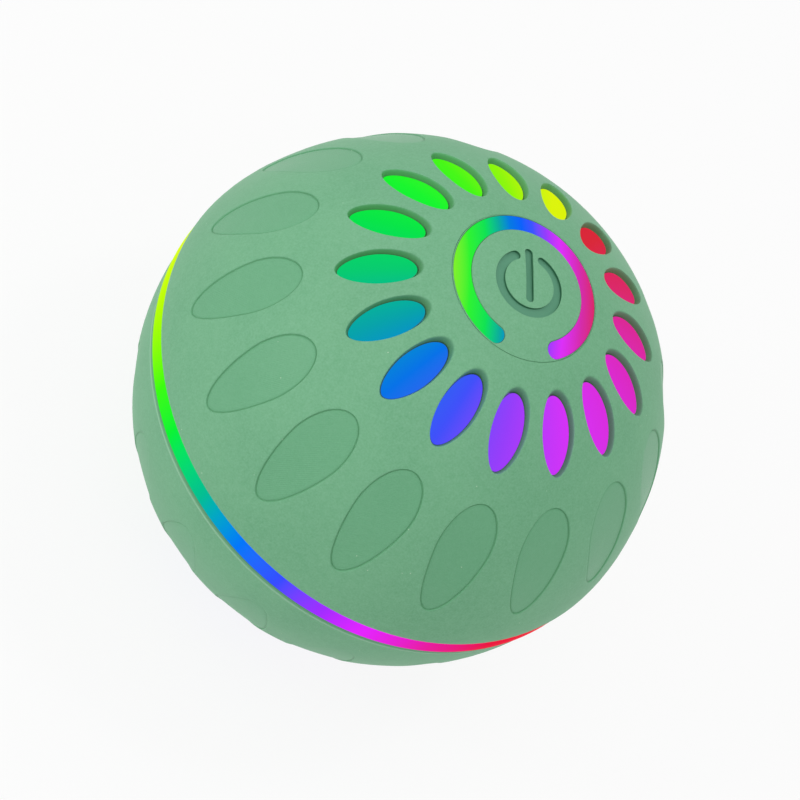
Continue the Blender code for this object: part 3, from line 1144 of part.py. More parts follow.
def port_plug():
    """The soft plug that closes the port: a domed head, a hollow lug in the socket's mouth and a barbed tether."""
    low = -POLAR_HALF_HEIGHT - OVERRUN
    head_high = -SHELL_POLE - FIT_GAP / 2
    head = plate("port_plug", [stadium(PLUG_HALF_LENGTH, PLUG_HALF_WIDTH)], low, head_high, SKIN_GREEN)
    ball = turned("plug_dome", dome_arc(0.0, 0.0, math.pi), None, BALL_FACETS)
    combine(head, ball, "INTERSECT")
    gap = PORT_WALL + FIT_GAP
    lug = [stadium(PORT_HALF_WIDTH - gap, PORT_HALF_HEIGHT - gap)]
    lug_top = PORT_MOUTH_Z + PLUG_LUG_DEPTH
    base = head_high - SKIN_THICKNESS / 2
    combine(head, plate("plug_lug", lug, base, lug_top, None), "UNION")
    slot_low = PORT_MOUTH_Z + TONGUE_SETBACK - FIT_GAP
    slot = (2 * (TONGUE_HALF_WIDTH + SEAT_GAP), 2 * (TONGUE_HALF_HEIGHT + SEAT_GAP), lug_top + OVERRUN - slot_low)
    combine(head, boxes("plug_slot", [((0.0, 0.0, (lug_top + OVERRUN + slot_low) / 2), slot)]), "DIFFERENCE")
    barb_edge = TETHER_OFFSET + FIT_GAP + TETHER_BARB_RADIUS
    step_radius, step_height = dome_point(math.pi / 2 / COARSE_STEPS, SHELL_BACK_INSET)
    wall = SHELL_BACK_POLE + (step_height - SHELL_BACK_POLE) * barb_edge / step_radius
    barb_low = FIT_GAP + PLUG_TRAVEL - wall
    profile = [
        (0.0, barb_low + TETHER_BARB_HEIGHT),
        (TETHER_RADIUS, barb_low + TETHER_BARB_HEIGHT),
        (TETHER_BARB_RADIUS, barb_low),
        (TETHER_RADIUS, barb_low),
        (TETHER_RADIUS, base),
        (0.0, base),
    ]
    at = (TETHER_OFFSET + FIT_GAP, 0.0)
    combine(head, turned("plug_tether", profile, None, SMALL_FACETS, at=at), "UNION")


def smooth_route(points):
    """Evenly spaced parameters of a Catmull-Rom curve through the route's own points."""
    padded = [2 * points[0] - points[1], *points, 2 * points[-1] - points[-2]]
    route = []
    for span in range(len(points) - 1):
        a, b, c, d = padded[span : span + 4]
        for i in range(LEAD_SPAN_STEPS):
            t = i / LEAD_SPAN_STEPS
            cubic = (3 * b - a - 3 * c + d) * t**3
            route.append(0.5 * (2 * b + (c - a) * t + (2 * a - 5 * b + 4 * c - d) * t**2 + cubic))
    return [*route, points[-1]]


def lead(name, points, surface):
    """A round lead along a smooth route."""
    curve = bpy.data.curves.new(name, "CURVE")
    curve.dimensions = "3D"
    curve.bevel_depth = LEAD_RADIUS
    curve.bevel_resolution = 1
    curve.use_fill_caps = True
    spline = curve.splines.new("POLY")
    route = smooth_route([Vector(point) for point in points])
    spline.points.add(len(route) - 1)
    for point, place in zip(spline.points, route):
        point.co = (*place, 1.0)
    obj = bpy.data.objects.new(name, curve)
    PARTS.objects.link(obj)
    curve.materials.append(surface)


def over_the_edge(start, end, low):
    """Places (across, height) along an arch over the main board's edge, from outside it to its solder joint."""
    middle = (start + end) / 2
    reach = abs(end - start) / 2
    sense = math.copysign(reach, start - middle)
    steps = [math.pi * i / 6 for i in (1, 3, 5)]
    return [(middle + sense * math.cos(a), low + reach * math.sin(a)) for a in steps]


def battery_lead():
    """From the end of the cell up past the main board's edge and in to the side of its socket."""
    rise = MAIN_BOARD_TOP + SEAT_GAP + LEAD_OFFSET
    edge = MAIN_BOARD_RADIUS + LEAD_OFFSET
    end = BATTERY_LENGTH / 2 + FIT_GAP
    side = CONNECTOR_LENGTH / 2
    route = [
        (BATTERY_X, -end, BATTERY_Z),
        (BATTERY_X, -end - LEAD_OFFSET, BATTERY_Z),
        (BATTERY_X, -end - LEAD_OFFSET, BATTERY_Z + BATTERY_RADIUS),
        (CONNECTOR_X, -edge, rise),
        (CONNECTOR_X, -(edge + side) / 2, rise + LEAD_OFFSET),
        (CONNECTOR_X, -side - FIT_GAP, rise + LEAD_OFFSET),
    ]
    lead("battery_lead", route, LEAD_RED)


def motor_lead():
    """From the side of the motor's end cap out past the main board's edge and down on its top."""
    start = MOTOR_X - MOTOR_CAP_RADIUS - FIT_GAP
    height = MOTOR_TOP + SEAT_GAP + MOTOR_CAP_HEIGHT / 2 + SEAT_GAP
    end = MOTOR_LEAD_MARGIN - MAIN_BOARD_RADIUS
    outside = end - 2 * LEAD_BEND
    board = MAIN_BOARD_TOP + FIT_GAP
    route = [(start, 0.0, height), (start - LEAD_OFFSET, 0.0, height), (outside, 0.0, MAIN_BOARD_TOP)]
    route += [(x, 0.0, z) for x, z in over_the_edge(outside, end, board + LEAD_MARGIN)]
    lead("motor_lead", [*route, (end, 0.0, board)], LEAD_BLACK)


def button_lead():
    """From the underside of the button's board down to the main board."""
    high = BUTTON_BOARD_LOW - FIT_GAP
    low = MAIN_BOARD_TOP + FIT_GAP
    middle = (high + low) / 2
    route = [
        (0.0, -BUTTON_LEAD_START, high),
        (0.0, -BUTTON_LEAD_START, high - LEAD_RADIUS),
        (0.0, -(BUTTON_LEAD_START + BUTTON_LEAD_END) / 2, middle),
        (0.0, -BUTTON_LEAD_END, low + LEAD_RADIUS),
        (0.0, -BUTTON_LEAD_END, low),
    ]
    lead("button_lead", route, LEAD_WHITE)


def charge_lead():
    """From the charging board out round the weight, up through the chassis plate and over the main board's edge."""
    x = CHARGE_LEAD_X
    low = CHARGE_BOARD_TOP + FIT_GAP
    under = (CHARGE_BOARD_TOP + WEIGHT_LOW) / 2
    board = MAIN_BOARD_TOP + FIT_GAP
    end = MAIN_BOARD_RADIUS - CHARGE_LEAD_MARGIN
    outside = end + 2 * LEAD_BEND
    route = [
        (x, CHARGE_LEAD_START, low),
        (x, CHARGE_LEAD_START, low + LEAD_OFFSET),
        (x, CHARGE_BOARD_HALF_LENGTH + LEAD_OFFSET, (low + LEAD_OFFSET + under) / 2),
        (x, (CHARGE_BOARD_HALF_LENGTH + CHARGE_LEAD_Y) / 2, under),
        (x, CHARGE_LEAD_Y - 2 * LEAD_OFFSET, under + LEAD_OFFSET),
        (x, CHARGE_LEAD_Y, (WEIGHT_LOW + WEIGHT_TOP) / 2),
        (x, CHARGE_LEAD_Y, -PLATE_HALF_THICKNESS),
        (x, CHARGE_LEAD_Y, MAIN_BOARD_HEIGHT / 2),
        (x, outside, MAIN_BOARD_HEIGHT),
    ]
    route += [(x, y, z) for y, z in over_the_edge(outside, end, board + LEAD_MARGIN)]
    lead("charge_lead", [*route, (x, end, board)], LEAD_WHITE)


def build():
    top_skin()
    bottom_skin()
    top_shell()
    bottom_shell()
    light_band()
    seals()
    ring_light_guide()
    button_cap()
    button_seal()
    switch_and_board()
    shell_screws()
    chassis_plate()
    battery()
    motor()
    gears()
    gearbox_cover()
    output_drive()
    main_board()
    charging_port()
    port_plug()
    battery_lead()
    motor_lead()
    button_lead()
    charge_lead()


build()
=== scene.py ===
# %% [markdown]
# # Dressing a smart dog ball
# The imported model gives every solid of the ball, from the skins down to the gears. This script loads it as a fixed
# frame and builds the finely shaped outer pieces round it: two soft skins, the button, the two light guides and the
# plug. Every piece sits at the place that the frame gives it, so nothing has to be fitted by eye.

import math

import bmesh
import bpy
from mathutils import Matrix, Vector


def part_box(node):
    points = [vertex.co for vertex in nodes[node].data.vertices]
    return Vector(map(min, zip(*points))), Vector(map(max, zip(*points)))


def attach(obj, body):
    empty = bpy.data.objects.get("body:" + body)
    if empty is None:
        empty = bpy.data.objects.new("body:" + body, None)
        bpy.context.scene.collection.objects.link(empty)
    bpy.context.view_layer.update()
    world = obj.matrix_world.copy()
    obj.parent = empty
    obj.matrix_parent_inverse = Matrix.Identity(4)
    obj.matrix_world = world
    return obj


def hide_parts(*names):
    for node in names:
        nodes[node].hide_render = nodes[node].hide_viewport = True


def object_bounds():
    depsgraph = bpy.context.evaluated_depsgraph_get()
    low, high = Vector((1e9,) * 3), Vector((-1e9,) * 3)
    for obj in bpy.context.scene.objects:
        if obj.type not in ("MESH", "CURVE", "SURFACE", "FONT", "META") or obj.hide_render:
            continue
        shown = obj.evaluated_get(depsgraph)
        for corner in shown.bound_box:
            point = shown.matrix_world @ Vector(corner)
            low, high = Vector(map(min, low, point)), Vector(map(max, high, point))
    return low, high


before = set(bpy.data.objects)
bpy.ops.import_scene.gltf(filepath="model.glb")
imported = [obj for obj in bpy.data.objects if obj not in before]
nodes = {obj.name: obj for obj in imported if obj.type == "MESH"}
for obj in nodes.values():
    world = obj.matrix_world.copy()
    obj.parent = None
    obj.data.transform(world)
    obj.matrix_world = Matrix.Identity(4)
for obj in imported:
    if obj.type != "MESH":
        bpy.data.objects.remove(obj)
frame_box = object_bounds()
MM = 0.001
print("nodes", len(nodes), "box", [round(side / MM, 1) for side in frame_box[1] - frame_box[0]])

# %% [markdown]
# ## Sizes of the real ball
# The ball is a slightly flattened sphere. A place on a skin is easiest to give as an arc, the length along the
# surface from the pole, and a distance across, so the pattern can be laid out flat and wrapped on the ball later.
# The button's side is a little fuller than that plain form, and the other side's shoulder a little slimmer. A swell,
# given in millimetres at a few arcs and eased in between, adds this to a skin's outside.

# %% Sizes
BALL_RADIUS = 40.0 * MM
POLAR_HALF_HEIGHT = 39.1 * MM
SKIN_THICKNESS = 1.6 * MM
PATTERN_COUNT = 16
GORE_HALF_ANGLE = math.pi / PATTERN_COUNT
LOWER_TURN = math.radians(-4.7)
SKIN_HOLE_RADIUS = 11.75 * MM
SKIN_RIM_HEIGHT = 1.9 * MM
WINDOW = (16.4 * MM, 22.35 * MM, 28.28 * MM, 2.7 * MM)
WINDOW_MOUTH = (15.15 * MM, 22.0 * MM, 28.42 * MM, 2.87 * MM)
PAD = (33.0 * MM, 41.1 * MM, 53.3 * MM, 4.4 * MM)
WINDOW_CELL_END = 30.9 * MM
PAD_CELL_END = 55.0 * MM
CAP_SWELL = 0.75 * MM
UPPER_SWELL = ((12.2, 0.75), (32.0, 0.1), (43.0, -0.14), (53.0, -0.14), (59.0, 0.08))
LOWER_SWELL = ((20.0, 0.0), (36.0, -0.12), (47.0, -0.55))


def swell(arc, depth, side):
    """How far the outside stands over the plain dome at an arc from a pole; the inside keeps its place."""
    knots = UPPER_SWELL if side > 0.0 else LOWER_SWELL
    value = knots[0][1] if arc / MM <= knots[0][0] else knots[-1][1]
    for (first, low), (last, high) in zip(knots, knots[1:]):
        if first < arc / MM <= last:
            share = (arc / MM - first) / (last - first)
            value = low + (high - low) * share * share * (3.0 - 2.0 * share)
    return value * MM * max(1.0 - depth / SKIN_THICKNESS, 0.0)


def surface_point(arc, azimuth, depth=0.0, side=1.0):
    """The point on the ball at that arc from a pole, that far under its surface."""
    angle = arc / BALL_RADIUS
    depth -= swell(arc, depth, side)
    reach = (BALL_RADIUS - depth) * math.sin(angle)
    height = (POLAR_HALF_HEIGHT - depth) * math.cos(angle)
    return Vector((reach * math.cos(azimuth), reach * math.sin(azimuth), side * height))


def dome_height(radius, depth=0.0):
    """Height of the plain dome at a radius from the axis."""
    return (POLAR_HALF_HEIGHT - depth) * math.sqrt(1.0 - (radius / (BALL_RADIUS - depth)) ** 2)


def cap_height(radius):
    """Height of the dome round the button, where the swell is even."""
    return dome_height(radius, -CAP_SWELL)


def arc_at_radius(radius, depth=0.0):
    return BALL_RADIUS * math.asin(radius / (BALL_RADIUS - depth))


def arc_at_height(height, depth=0.0):
    return BALL_RADIUS * math.acos(height / (POLAR_HALF_HEIGHT - depth))


HOLE_ARC = arc_at_radius(SKIN_HOLE_RADIUS, -CAP_SWELL)
RIM_ARC = arc_at_height(SKIN_RIM_HEIGHT)
print("skin runs from arc", round(HOLE_ARC / MM, 2), "to", round(RIM_ARC / MM, 2))

# %% [markdown]
# ## The camera
# The photograph looks down on the button's side of the ball from about fifty degrees up, and the ball is rolled in
# the picture. The camera is placed from three angles and a distance, with a long lens, and comes first because every
# later look is judged through it.

# %% Camera
VIEW_AZIMUTH = math.radians(-130.51)
VIEW_ELEVATION = math.radians(50.79)
VIEW_ROLL = math.radians(48.26)
VIEW_DISTANCE = 744.3 * MM
VIEW_LENS = 225.8
VIEW_SHIFT = (0.0026, 0.00088)
toward = Vector((math.cos(VIEW_AZIMUTH), math.sin(VIEW_AZIMUTH), math.tan(VIEW_ELEVATION))).normalized()
level_right = Vector((0.0, 0.0, 1.0)).cross(toward).normalized()
level_up = toward.cross(level_right)
view_right = level_right * math.cos(VIEW_ROLL) + level_up * math.sin(VIEW_ROLL)
view_up = level_up * math.cos(VIEW_ROLL) - level_right * math.sin(VIEW_ROLL)
camera_data = bpy.data.cameras.new("camera")
camera_data.lens = VIEW_LENS
camera_data.sensor_width = 36.0
camera_data.shift_x, camera_data.shift_y = VIEW_SHIFT
camera = bpy.data.objects.new("camera", camera_data)
turned = Matrix((view_right, view_up, toward)).transposed().to_4x4()
camera.matrix_world = Matrix.Translation(toward * VIEW_DISTANCE) @ turned
bpy.context.scene.collection.objects.link(camera)
bpy.context.scene.camera = camera
print("camera at", [round(value, 4) for value in camera.location])

# %% [markdown]
# ## From a bmesh to a finished piece
# All pieces end the same way: doubles are merged, faces turned outward, edges sharper than an angle marked so that
# smooth shading stops at them, and the object is left at the origin with its place in its mesh.

# %% Finish helpers
WELD = 0.002 * MM
SHARP_ANGLE = math.radians(38.0)


def finished(name, shape, material):
    """Writes a bmesh to a new object at the origin, shaded smooth up to the sharp angle."""
    bmesh.ops.remove_doubles(shape, verts=shape.verts, dist=WELD)
    bmesh.ops.recalc_face_normals(shape, faces=shape.faces)
    for face in shape.faces:
        face.smooth = True
    for edge in shape.edges:
        edge.smooth = len(edge.link_faces) == 2 and edge.calc_face_angle(0.0) < SHARP_ANGLE
    mesh = bpy.data.meshes.new(name)
    shape.to_mesh(mesh)
    shape.free()
    obj = bpy.data.objects.new(name, mesh)
    bpy.context.scene.collection.objects.link(obj)
    mesh.materials.append(material)
    print(name, len(mesh.polygons), "faces", "open" if any_open(mesh) else "closed")
    return obj


def any_open(mesh):
    """Whether any edge of the mesh has other than two faces."""
    uses = {}
    for face in mesh.polygons:
        for key in face.edge_keys:
            uses[key] = uses.get(key, 0) + 1
    return any(count != 2 for count in uses.values())


def turned_round(shape, geom, centre, angle, steps, axis=(0.0, 0.0, 1.0), **options):
    """Spins part of a shape round an upright axis."""
    bmesh.ops.spin(shape, geom=geom, cent=centre, axis=axis, angle=angle, steps=steps, **options)


def spun(shape, profile, steps):
    """Spins a profile of (radius, height) points once round the ball's axis."""
    verts = [shape.verts.new((radius, 0.0, height)) for radius, height in profile]
    edges = [shape.edges.new(pair) for pair in zip(verts, verts[1:])]
    turned_round(shape, verts + edges, (0.0, 0.0, 0.0), 2 * math.pi, steps, use_merge=True)


def extruded(shape, edges):
    """Extrudes a row of edges, and gives back the new vertices and the new row."""
    made = bmesh.ops.extrude_edge_only(shape, edges=edges)["geom"]
    fresh = {item for item in made if isinstance(item, bmesh.types.BMVert)}
    return fresh, [item for item in made if isinstance(item, bmesh.types.BMEdge) and set(item.verts) <= fresh]


# %% [markdown]
# ## One gore of a skin, laid flat
# Each skin repeats one gore sixteen times: a window through which the lit shell shows, and a shallow pad under it.
# The gore is made flat. A ring of vertices is extruded inward again and again, and after each step every vertex goes
# to its own place: first the border of its cell, then ovals that shrink, then down the soft mouth of the window.
# Rings that follow the ovals shade far better than holes cut by a Boolean. Each vertex carries three values besides
# its place: its number in the ring, a mark for pads, for lips that get a painted highlight and for rims, and how much
# painted shade its colour gets where it counts as a wall or groove that lies in shade. The finishes read the last
# two.

# %% Rings of the flat gore
WINDOW_POWERS = (1.8, 0.54)
RING_COUNT = 48
SHORT_EDGES = 8
LONG_EDGES = 16


def gore_half_width(arc):
    return GORE_HALF_ANGLE * BALL_RADIUS * math.sin(arc / BALL_RADIUS)


def border_point(index, low, high):
    """Point of a cell's border, as (across, arc). Index 0 is the middle of the side nearest the pole."""
    step = (index + SHORT_EDGES // 2) % RING_COUNT
    if step <= SHORT_EDGES:
        share, arc = 2.0 * step / SHORT_EDGES - 1.0, low
    elif step <= SHORT_EDGES + LONG_EDGES:
        share, arc = 1.0, low + (high - low) * (step - SHORT_EDGES) / LONG_EDGES
    elif step <= 2 * SHORT_EDGES + LONG_EDGES:
        share, arc = 1.0 - 2.0 * (step - SHORT_EDGES - LONG_EDGES) / SHORT_EDGES, high
    else:
        share, arc = -1.0, high - (high - low) * (step - 2 * SHORT_EDGES - LONG_EDGES) / LONG_EDGES
    return Vector((share * gore_half_width(arc), arc))


def oval_point(index, oval, powers=WINDOW_POWERS):
    """Point of an egg-shaped oval with its widest row part of the way down."""
    start, widest, tip, half_width = oval
    angle = 2 * math.pi * index / RING_COUNT
    along = -math.cos(angle)
    if along <= 0.0:
        return Vector((half_width * math.sin(angle), widest + along * (widest - start)))
    width = half_width * max(1.0 - along ** powers[0], 0.0) ** powers[1]
    return Vector((math.copysign(width, math.sin(angle)), widest + along * (tip - widest)))


def shrunk_point(index, oval, powers, distance):
    """The oval's point moved straight inward by a distance."""
    before = oval_point(index - 0.5, oval, powers)
    after = oval_point(index + 0.5, oval, powers)
    run = (after - before).normalized()
    return oval_point(index, oval, powers) + Vector((-run.y, run.x)) * distance


def numbered_shape():
    """An empty bmesh whose vertices will carry a number, a mark and an amount of painted shade."""
    shape = bmesh.new()
    shape.verts.layers.int.new("number")
    for layer in ("mark", "wall"):
        shape.verts.layers.float.new(layer)
    return shape


def next_row(shape, edges, place, marked=0.0, shaded=0.0):
    """Extrudes a row of edges, sends each new vertex to the place of its own index, and gives it a mark and an amount
    of painted shade for the finish.
    """
    number = shape.verts.layers.int["number"]
    mark = shape.verts.layers.float["mark"]
    wall = shape.verts.layers.float["wall"]
    fresh, row = extruded(shape, edges)
    for vert in fresh:
        flat, depth = place(vert[number])
        vert.co = (flat.x, flat.y, -depth)
        vert[mark] = marked
        # The wall layer holds how much painted shade darkens this vertex's colour.
        vert[wall] = shaded
    return row


def first_ring(shape, place):
    """A ring of edges whose vertices are numbered and go to the place of their own index."""
    number = shape.verts.layers.int["number"]
    verts = bmesh.ops.create_circle(shape, segments=RING_COUNT, radius=1.0)["verts"]
    for index, vert in enumerate(verts):
        flat, depth = place(index)
        vert.co = (flat.x, flat.y, -depth)
        vert[number] = index
    return list({edge for vert in verts for edge in vert.link_edges})


def side_edges(shape, edges, middle):
    """The edges of one short side of a border ring, whose middle vertex has that index."""
    number = shape.verts.layers.int["number"]
    half = SHORT_EDGES // 2
    wanted = {(middle + step) % RING_COUNT for step in range(-half, half + 1)}
    return [edge for edge in edges if {vert[number] for vert in edge.verts} <= wanted]


def on_border(low, high, depth=0.0):
    """Where the vertices of a row go on the border of a cell, at one depth."""
    return lambda index: (border_point(index, low, high), depth)


def on_oval(*sizes):
    """Where the vertices of a row go on an oval, at the surface."""
    return lambda index: (oval_point(index, *sizes), 0.0)


def inside_oval(sizes, powers, inward, sunk):
    """Where the vertices of a row go, inside an oval's edge and under the surface, both given in millimetres."""
    return lambda index: (shrunk_point(index, sizes, powers, inward * MM), sunk * MM)


def rows_between(shape, ring, first, second, rows):
    """Rows from one place towards another, each with its share of the way, its depth in the skin and its painted
    shade.
    """
    for share, sunk, shaded in rows:
        depth = sunk * SKIN_THICKNESS
        ring = next_row(
            shape, ring, lambda index: (first(index)[0].lerp(second(index)[0], share), depth), shaded=shaded
        )
    return ring


# %% [markdown]
# ## Windows and pads
# The photograph shows each window's mouth rounding down gently at first and steeply at last, so its rings sink by a
# given curve: the share of the way in, the depth as a share of the skin's thickness, and the painted shade that
# darkens the wall. A pad is only a shallow dished oval inside a fine groove, which the picture shows as a thin dark
# line on one side and a light edge on the other; painted shade darkens the groove all round. The rows of its edge
# say how far inward, how far sunk and how much painted shade they get.

# %% Windows and pads
# Rows of the mouth: share of the way in, depth as a share of the skin, and painted shade on the wall.
MOUTH_CURVE = (
    (0.12, 0.004, 0.0),
    (0.26, 0.02, 0.0),
    (0.36, 0.05, 0.1),
    (0.44, 0.11, 0.4),
    (0.56, 0.22, 0.7),
    (0.72, 0.38, 0.9),
    (0.88, 0.58, 1.0),
    (1.0, 1.0, 1.0),
)
PAD_POWERS = (1.45, 0.5)
# Rows of the pad's edge: inward and sunk in millimetres, and painted shade for the groove's dark line.
PAD_EDGE = (
    (0.0, 0.0, 0.0),
    (0.04, 0.03, 0.0),
    (0.1, 0.22, 0.75),
    (0.18, 0.26, 0.75),
    (0.28, 0.19, 0.0),
    (0.44, 0.17, 0.0),
)
UPPER_PAD = {"marked": 1.0, "dish": 0.2 * MM}
LOWER_PAD = {"marked": 0.25, "dish": 0.08 * MM}
CLOSING_RINGS = (0.93, 0.8, 0.62, 0.42, 0.2)
BORDER_SHARES = (0.3, 0.58, 0.8, 0.93)


def window_cell(shape, low, inner_low):
    """The cell with a window: over the outside, down through the window and back under the inside."""
    outer, inner = on_border(low, WINDOW_CELL_END), on_border(inner_low, WINDOW_CELL_END)
    mouth, window = on_oval(WINDOW_MOUTH), on_oval(WINDOW)
    ring = first_ring(shape, outer)
    outer_side = side_edges(shape, ring, 0)
    ring = rows_between(shape, ring, outer, mouth, [(share, 0.0, 0.0) for share in (*BORDER_SHARES, 1.0)])
    ring = rows_between(shape, ring, mouth, window, MOUTH_CURVE)
    rows_between(shape, ring, inner, window, [(share, 1.0, 0.0) for share in (*BORDER_SHARES[::-2], 0.0)])
    return outer_side


def pad_cell(shape, marked, dish):
    """The cell with a shallow dished pad, and the plain inside of the skin under it."""
    outer = on_border(WINDOW_CELL_END, PAD_CELL_END)
    ring = first_ring(shape, outer)
    outer_side = side_edges(shape, ring, RING_COUNT // 2)
    level_rows = [(share, 0.0, 0.0) for share in BORDER_SHARES]
    ring = rows_between(shape, ring, outer, on_oval(PAD, PAD_POWERS), level_rows)
    for inward, sunk, shaded in PAD_EDGE:
        mark = marked if sunk else 0.0
        ring = next_row(shape, ring, inside_oval(PAD, PAD_POWERS, inward, sunk), mark, marked * shaded)
    close_rings(shape, ring, PAD_EDGE[-1][1] * MM, marked, dish)
    ring = first_ring(shape, on_border(WINDOW_CELL_END, PAD_CELL_END, SKIN_THICKNESS))
    close_rings(shape, ring, SKIN_THICKNESS, 0.0)
    return outer_side


def close_rings(shape, ring, depth, marked, dish=0.0, middle_arc=PAD[1]):
    """Rings that shrink to the middle of an oval, sink there by a dish, and close."""
    number = shape.verts.layers.int["number"]
    middle = Vector((0.0, middle_arc))
    start = {vert[number]: vert.co.xy.copy() for edge in ring for vert in edge.verts}
    for share in CLOSING_RINGS:
        sunk = depth + dish * (1.0 - share**2)
        ring = next_row(shape, ring, lambda index: (middle.lerp(start[index], share), sunk), marked)
    last = list({vert for edge in ring for vert in edge.verts})
    bmesh.ops.contextual_create(shape, geom=ring + last)
    cap = max(shape.faces, key=lambda face: len(face.verts))
    bmesh.ops.poke(shape, faces=[cap])


# %% [markdown]
# ## The skin's edges, and wrapping the gore on the ball
# The edge round the button is crisp and only just broken. The rims beside the light band are rounder, and the lower
# skin has a fine lip about a millimetre from its rim, made pale by a painted highlight, with a shallow groove
# darkened by painted shade between the lip and the band. Each edge is one more run of extruded rows, which give the
# way back from the rim and the depth in millimetres, then the mark, whose values below zero paint the highlight, and
# the painted shade. Then every vertex is wrapped on the ball, and a spin with duplicates makes sixteen gores of one.

# %% Edges and wrapping
GORE_START = HOLE_ARC + 0.2 * MM
HOLE_EDGE = ((0.04, 0.004), (0.0, 0.04), (0.0, 0.3))
# Rim rows: way back and depth in millimetres, mark, and painted shade, which darkens the rim's wall.
UPPER_RIM = (
    (4.0, 0.0, 0.0, 0.0),
    (2.0, 0.0, 0.0, 0.0),
    (0.9, 0.01, 0.0, 0.0),
    (0.5, 0.02, 0.0, 0.0),
    (0.26, 0.05, 0.0, 0.0),
    (0.1, 0.12, 0.0, 0.0),
    (0.02, 0.22, 0.0, 0.0),
    (0.0, 0.4, 0.0, 1.0),
)
# Lower rim rows: a mark below zero paints a highlight on the lip, and painted shade darkens the groove.
LOWER_RIM = (
    (4.2, 0.0, 0.0, 0.0),
    (2.4, 0.0, 0.0, 0.0),
    (1.5, 0.01, 0.0, 0.0),
    (1.2, 0.0, 0.0, 0.0),
    (1.12, -0.07, -1.0, 0.0),
    (0.9, -0.08, -1.0, 0.0),
    (0.82, 0.0, -0.6, 0.0),
    (0.74, 0.07, 0.0, 0.2),
    (0.44, 0.1, 0.0, 0.5),
    (0.2, 0.15, 0.0, 1.0),
    (0.02, 0.24, 0.0, 1.0),
    (0.0, 0.5, 0.0, 1.0),
)
INNER_RIM_ROWS = (0.0, 2.0, 4.0)


def gore(rim_rows, hole_rows):
    """One flat gore with its window, pad, rim, and edge round the button if it has one."""
    shape = numbered_shape()
    inner_low = arc_at_radius(SKIN_HOLE_RADIUS, SKIN_THICKNESS)
    side = window_cell(shape, GORE_START, inner_low)
    for back, depth in hole_rows:
        side = next_row(shape, side, on_border(HOLE_ARC + back * MM, WINDOW_CELL_END, depth * MM))
    if hole_rows:
        next_row(shape, side, on_border(inner_low, WINDOW_CELL_END, SKIN_THICKNESS))
    side = pad_cell(shape, **(UPPER_PAD if hole_rows else LOWER_PAD))
    for back, depth, marked, shaded in rim_rows:
        side = next_row(shape, side, on_border(WINDOW_CELL_END, RIM_ARC - back * MM, depth * MM), marked, shaded)
    inner_rim = arc_at_height(SKIN_RIM_HEIGHT, SKIN_THICKNESS)
    for back in INNER_RIM_ROWS:
        side = next_row(shape, side, on_border(WINDOW_CELL_END, inner_rim - back * MM, SKIN_THICKNESS))
    next_row(shape, side, on_border(WINDOW_CELL_END, PAD_CELL_END, SKIN_THICKNESS))
    bmesh.ops.remove_doubles(shape, verts=shape.verts, dist=WELD)
    return shape


def wrap_gores(shape, side, turn):
    """Keeps the flat layout as a UV map, wraps the gore on the ball and repeats it round the pole."""
    layout = shape.loops.layers.uv.new("layout")
    for face in shape.faces:
        for loop in face.loops:
            loop[layout].uv = loop.vert.co.xy / MM
    for vert in shape.verts:
        across, arc, height = vert.co
        azimuth = across / (BALL_RADIUS * math.sin(arc / BALL_RADIUS))
        vert.co = surface_point(arc, azimuth + turn, -height, side)
    everything = [*shape.verts, *shape.edges, *shape.faces]
    copies = PATTERN_COUNT - 1
    turned_round(
        shape, everything, (0.0, 0.0, 0.0), 2 * math.pi * copies / PATTERN_COUNT, copies, use_duplicate=True
    )
    bmesh.ops.remove_doubles(shape, verts=shape.verts, dist=WELD)


# %% [markdown]
# ## Shared effects for the finishes
# Four effects turn up in several finishes, so each is a node group: a moulded grain, a slow drift of tone, scattered
# specks, and fine parallel streaks on metal. A group gives out values only, and the shader itself stays in each
# material.

# %% Node group helpers


def group_shell(name, inputs, outputs):
    """An empty node group with named float inputs after its Vector, and named float outputs."""
    group = bpy.data.node_groups.new(name, "ShaderNodeTree")
    group.interface.new_socket("Vector", in_out="INPUT", socket_type="NodeSocketVector")
    for label, value in inputs:
        socket = group.interface.new_socket(label, in_out="INPUT", socket_type="NodeSocketFloat")
        socket.default_value = value
    for label in outputs:
        group.interface.new_socket(label, in_out="OUTPUT", socket_type="NodeSocketFloat")
    return group, group.nodes.new("NodeGroupInput"), group.nodes.new("NodeGroupOutput")


def node(tree, kind, **settings):
    """A node with its properties and inputs set by name; a socket or a value may be given for an input."""
    made = tree.nodes.new(kind)
    for key, value in settings.items():
        if key.startswith("in_"):
            label = key[3:]
            socket = made.inputs[int(label)] if label.isdigit() else made.inputs[label.replace("_", " ")]
            if isinstance(value, bpy.types.NodeSocket):
                tree.links.new(value, socket)
            else:
                socket.default_value = value
        else:
            setattr(made, key, value)
    return made


def math_node(tree, operation, *values):
    """A Math node's result."""
    settings = {f"in_{place}": value for place, value in enumerate(values)}
    return node(tree, "ShaderNodeMath", operation=operation, **settings).outputs[0]


# %% [markdown]
# ### Moulded grain
# A spark-eroded mould leaves soft plastic with a fine even grain. Two noises of different size add up to it, and the
# sum feeds a bump as a height.

# %% Moulded grain group
grain_group, given, result = group_shell("moulded_grain", (("Scale", 3000.0), ("Coarse Share", 0.4)), ("Height",))
fine = node(grain_group, "ShaderNodeTexNoise", in_Vector=given.outputs["Vector"], in_Scale=given.outputs["Scale"])
fine.inputs["Detail"].default_value = 3.0
coarse_scale = math_node(grain_group, "MULTIPLY", given.outputs["Scale"], 0.31)
coarse = node(grain_group, "ShaderNodeTexNoise", in_Vector=given.outputs["Vector"], in_Scale=coarse_scale)
coarse.inputs["Detail"].default_value = 1.0
weighted = math_node(grain_group, "MULTIPLY", coarse.outputs[0], given.outputs["Coarse Share"])
grain_group.links.new(math_node(grain_group, "ADD", fine.outputs[0], weighted), result.inputs["Height"])
print("group", grain_group.name)

# %% [markdown]
# ### Slow drift of tone
# No moulded or plated surface is one flat colour. A large soft noise, pushed towards its ends, gives a mask from 0 to
# 1 that each finish mixes two close tones by.

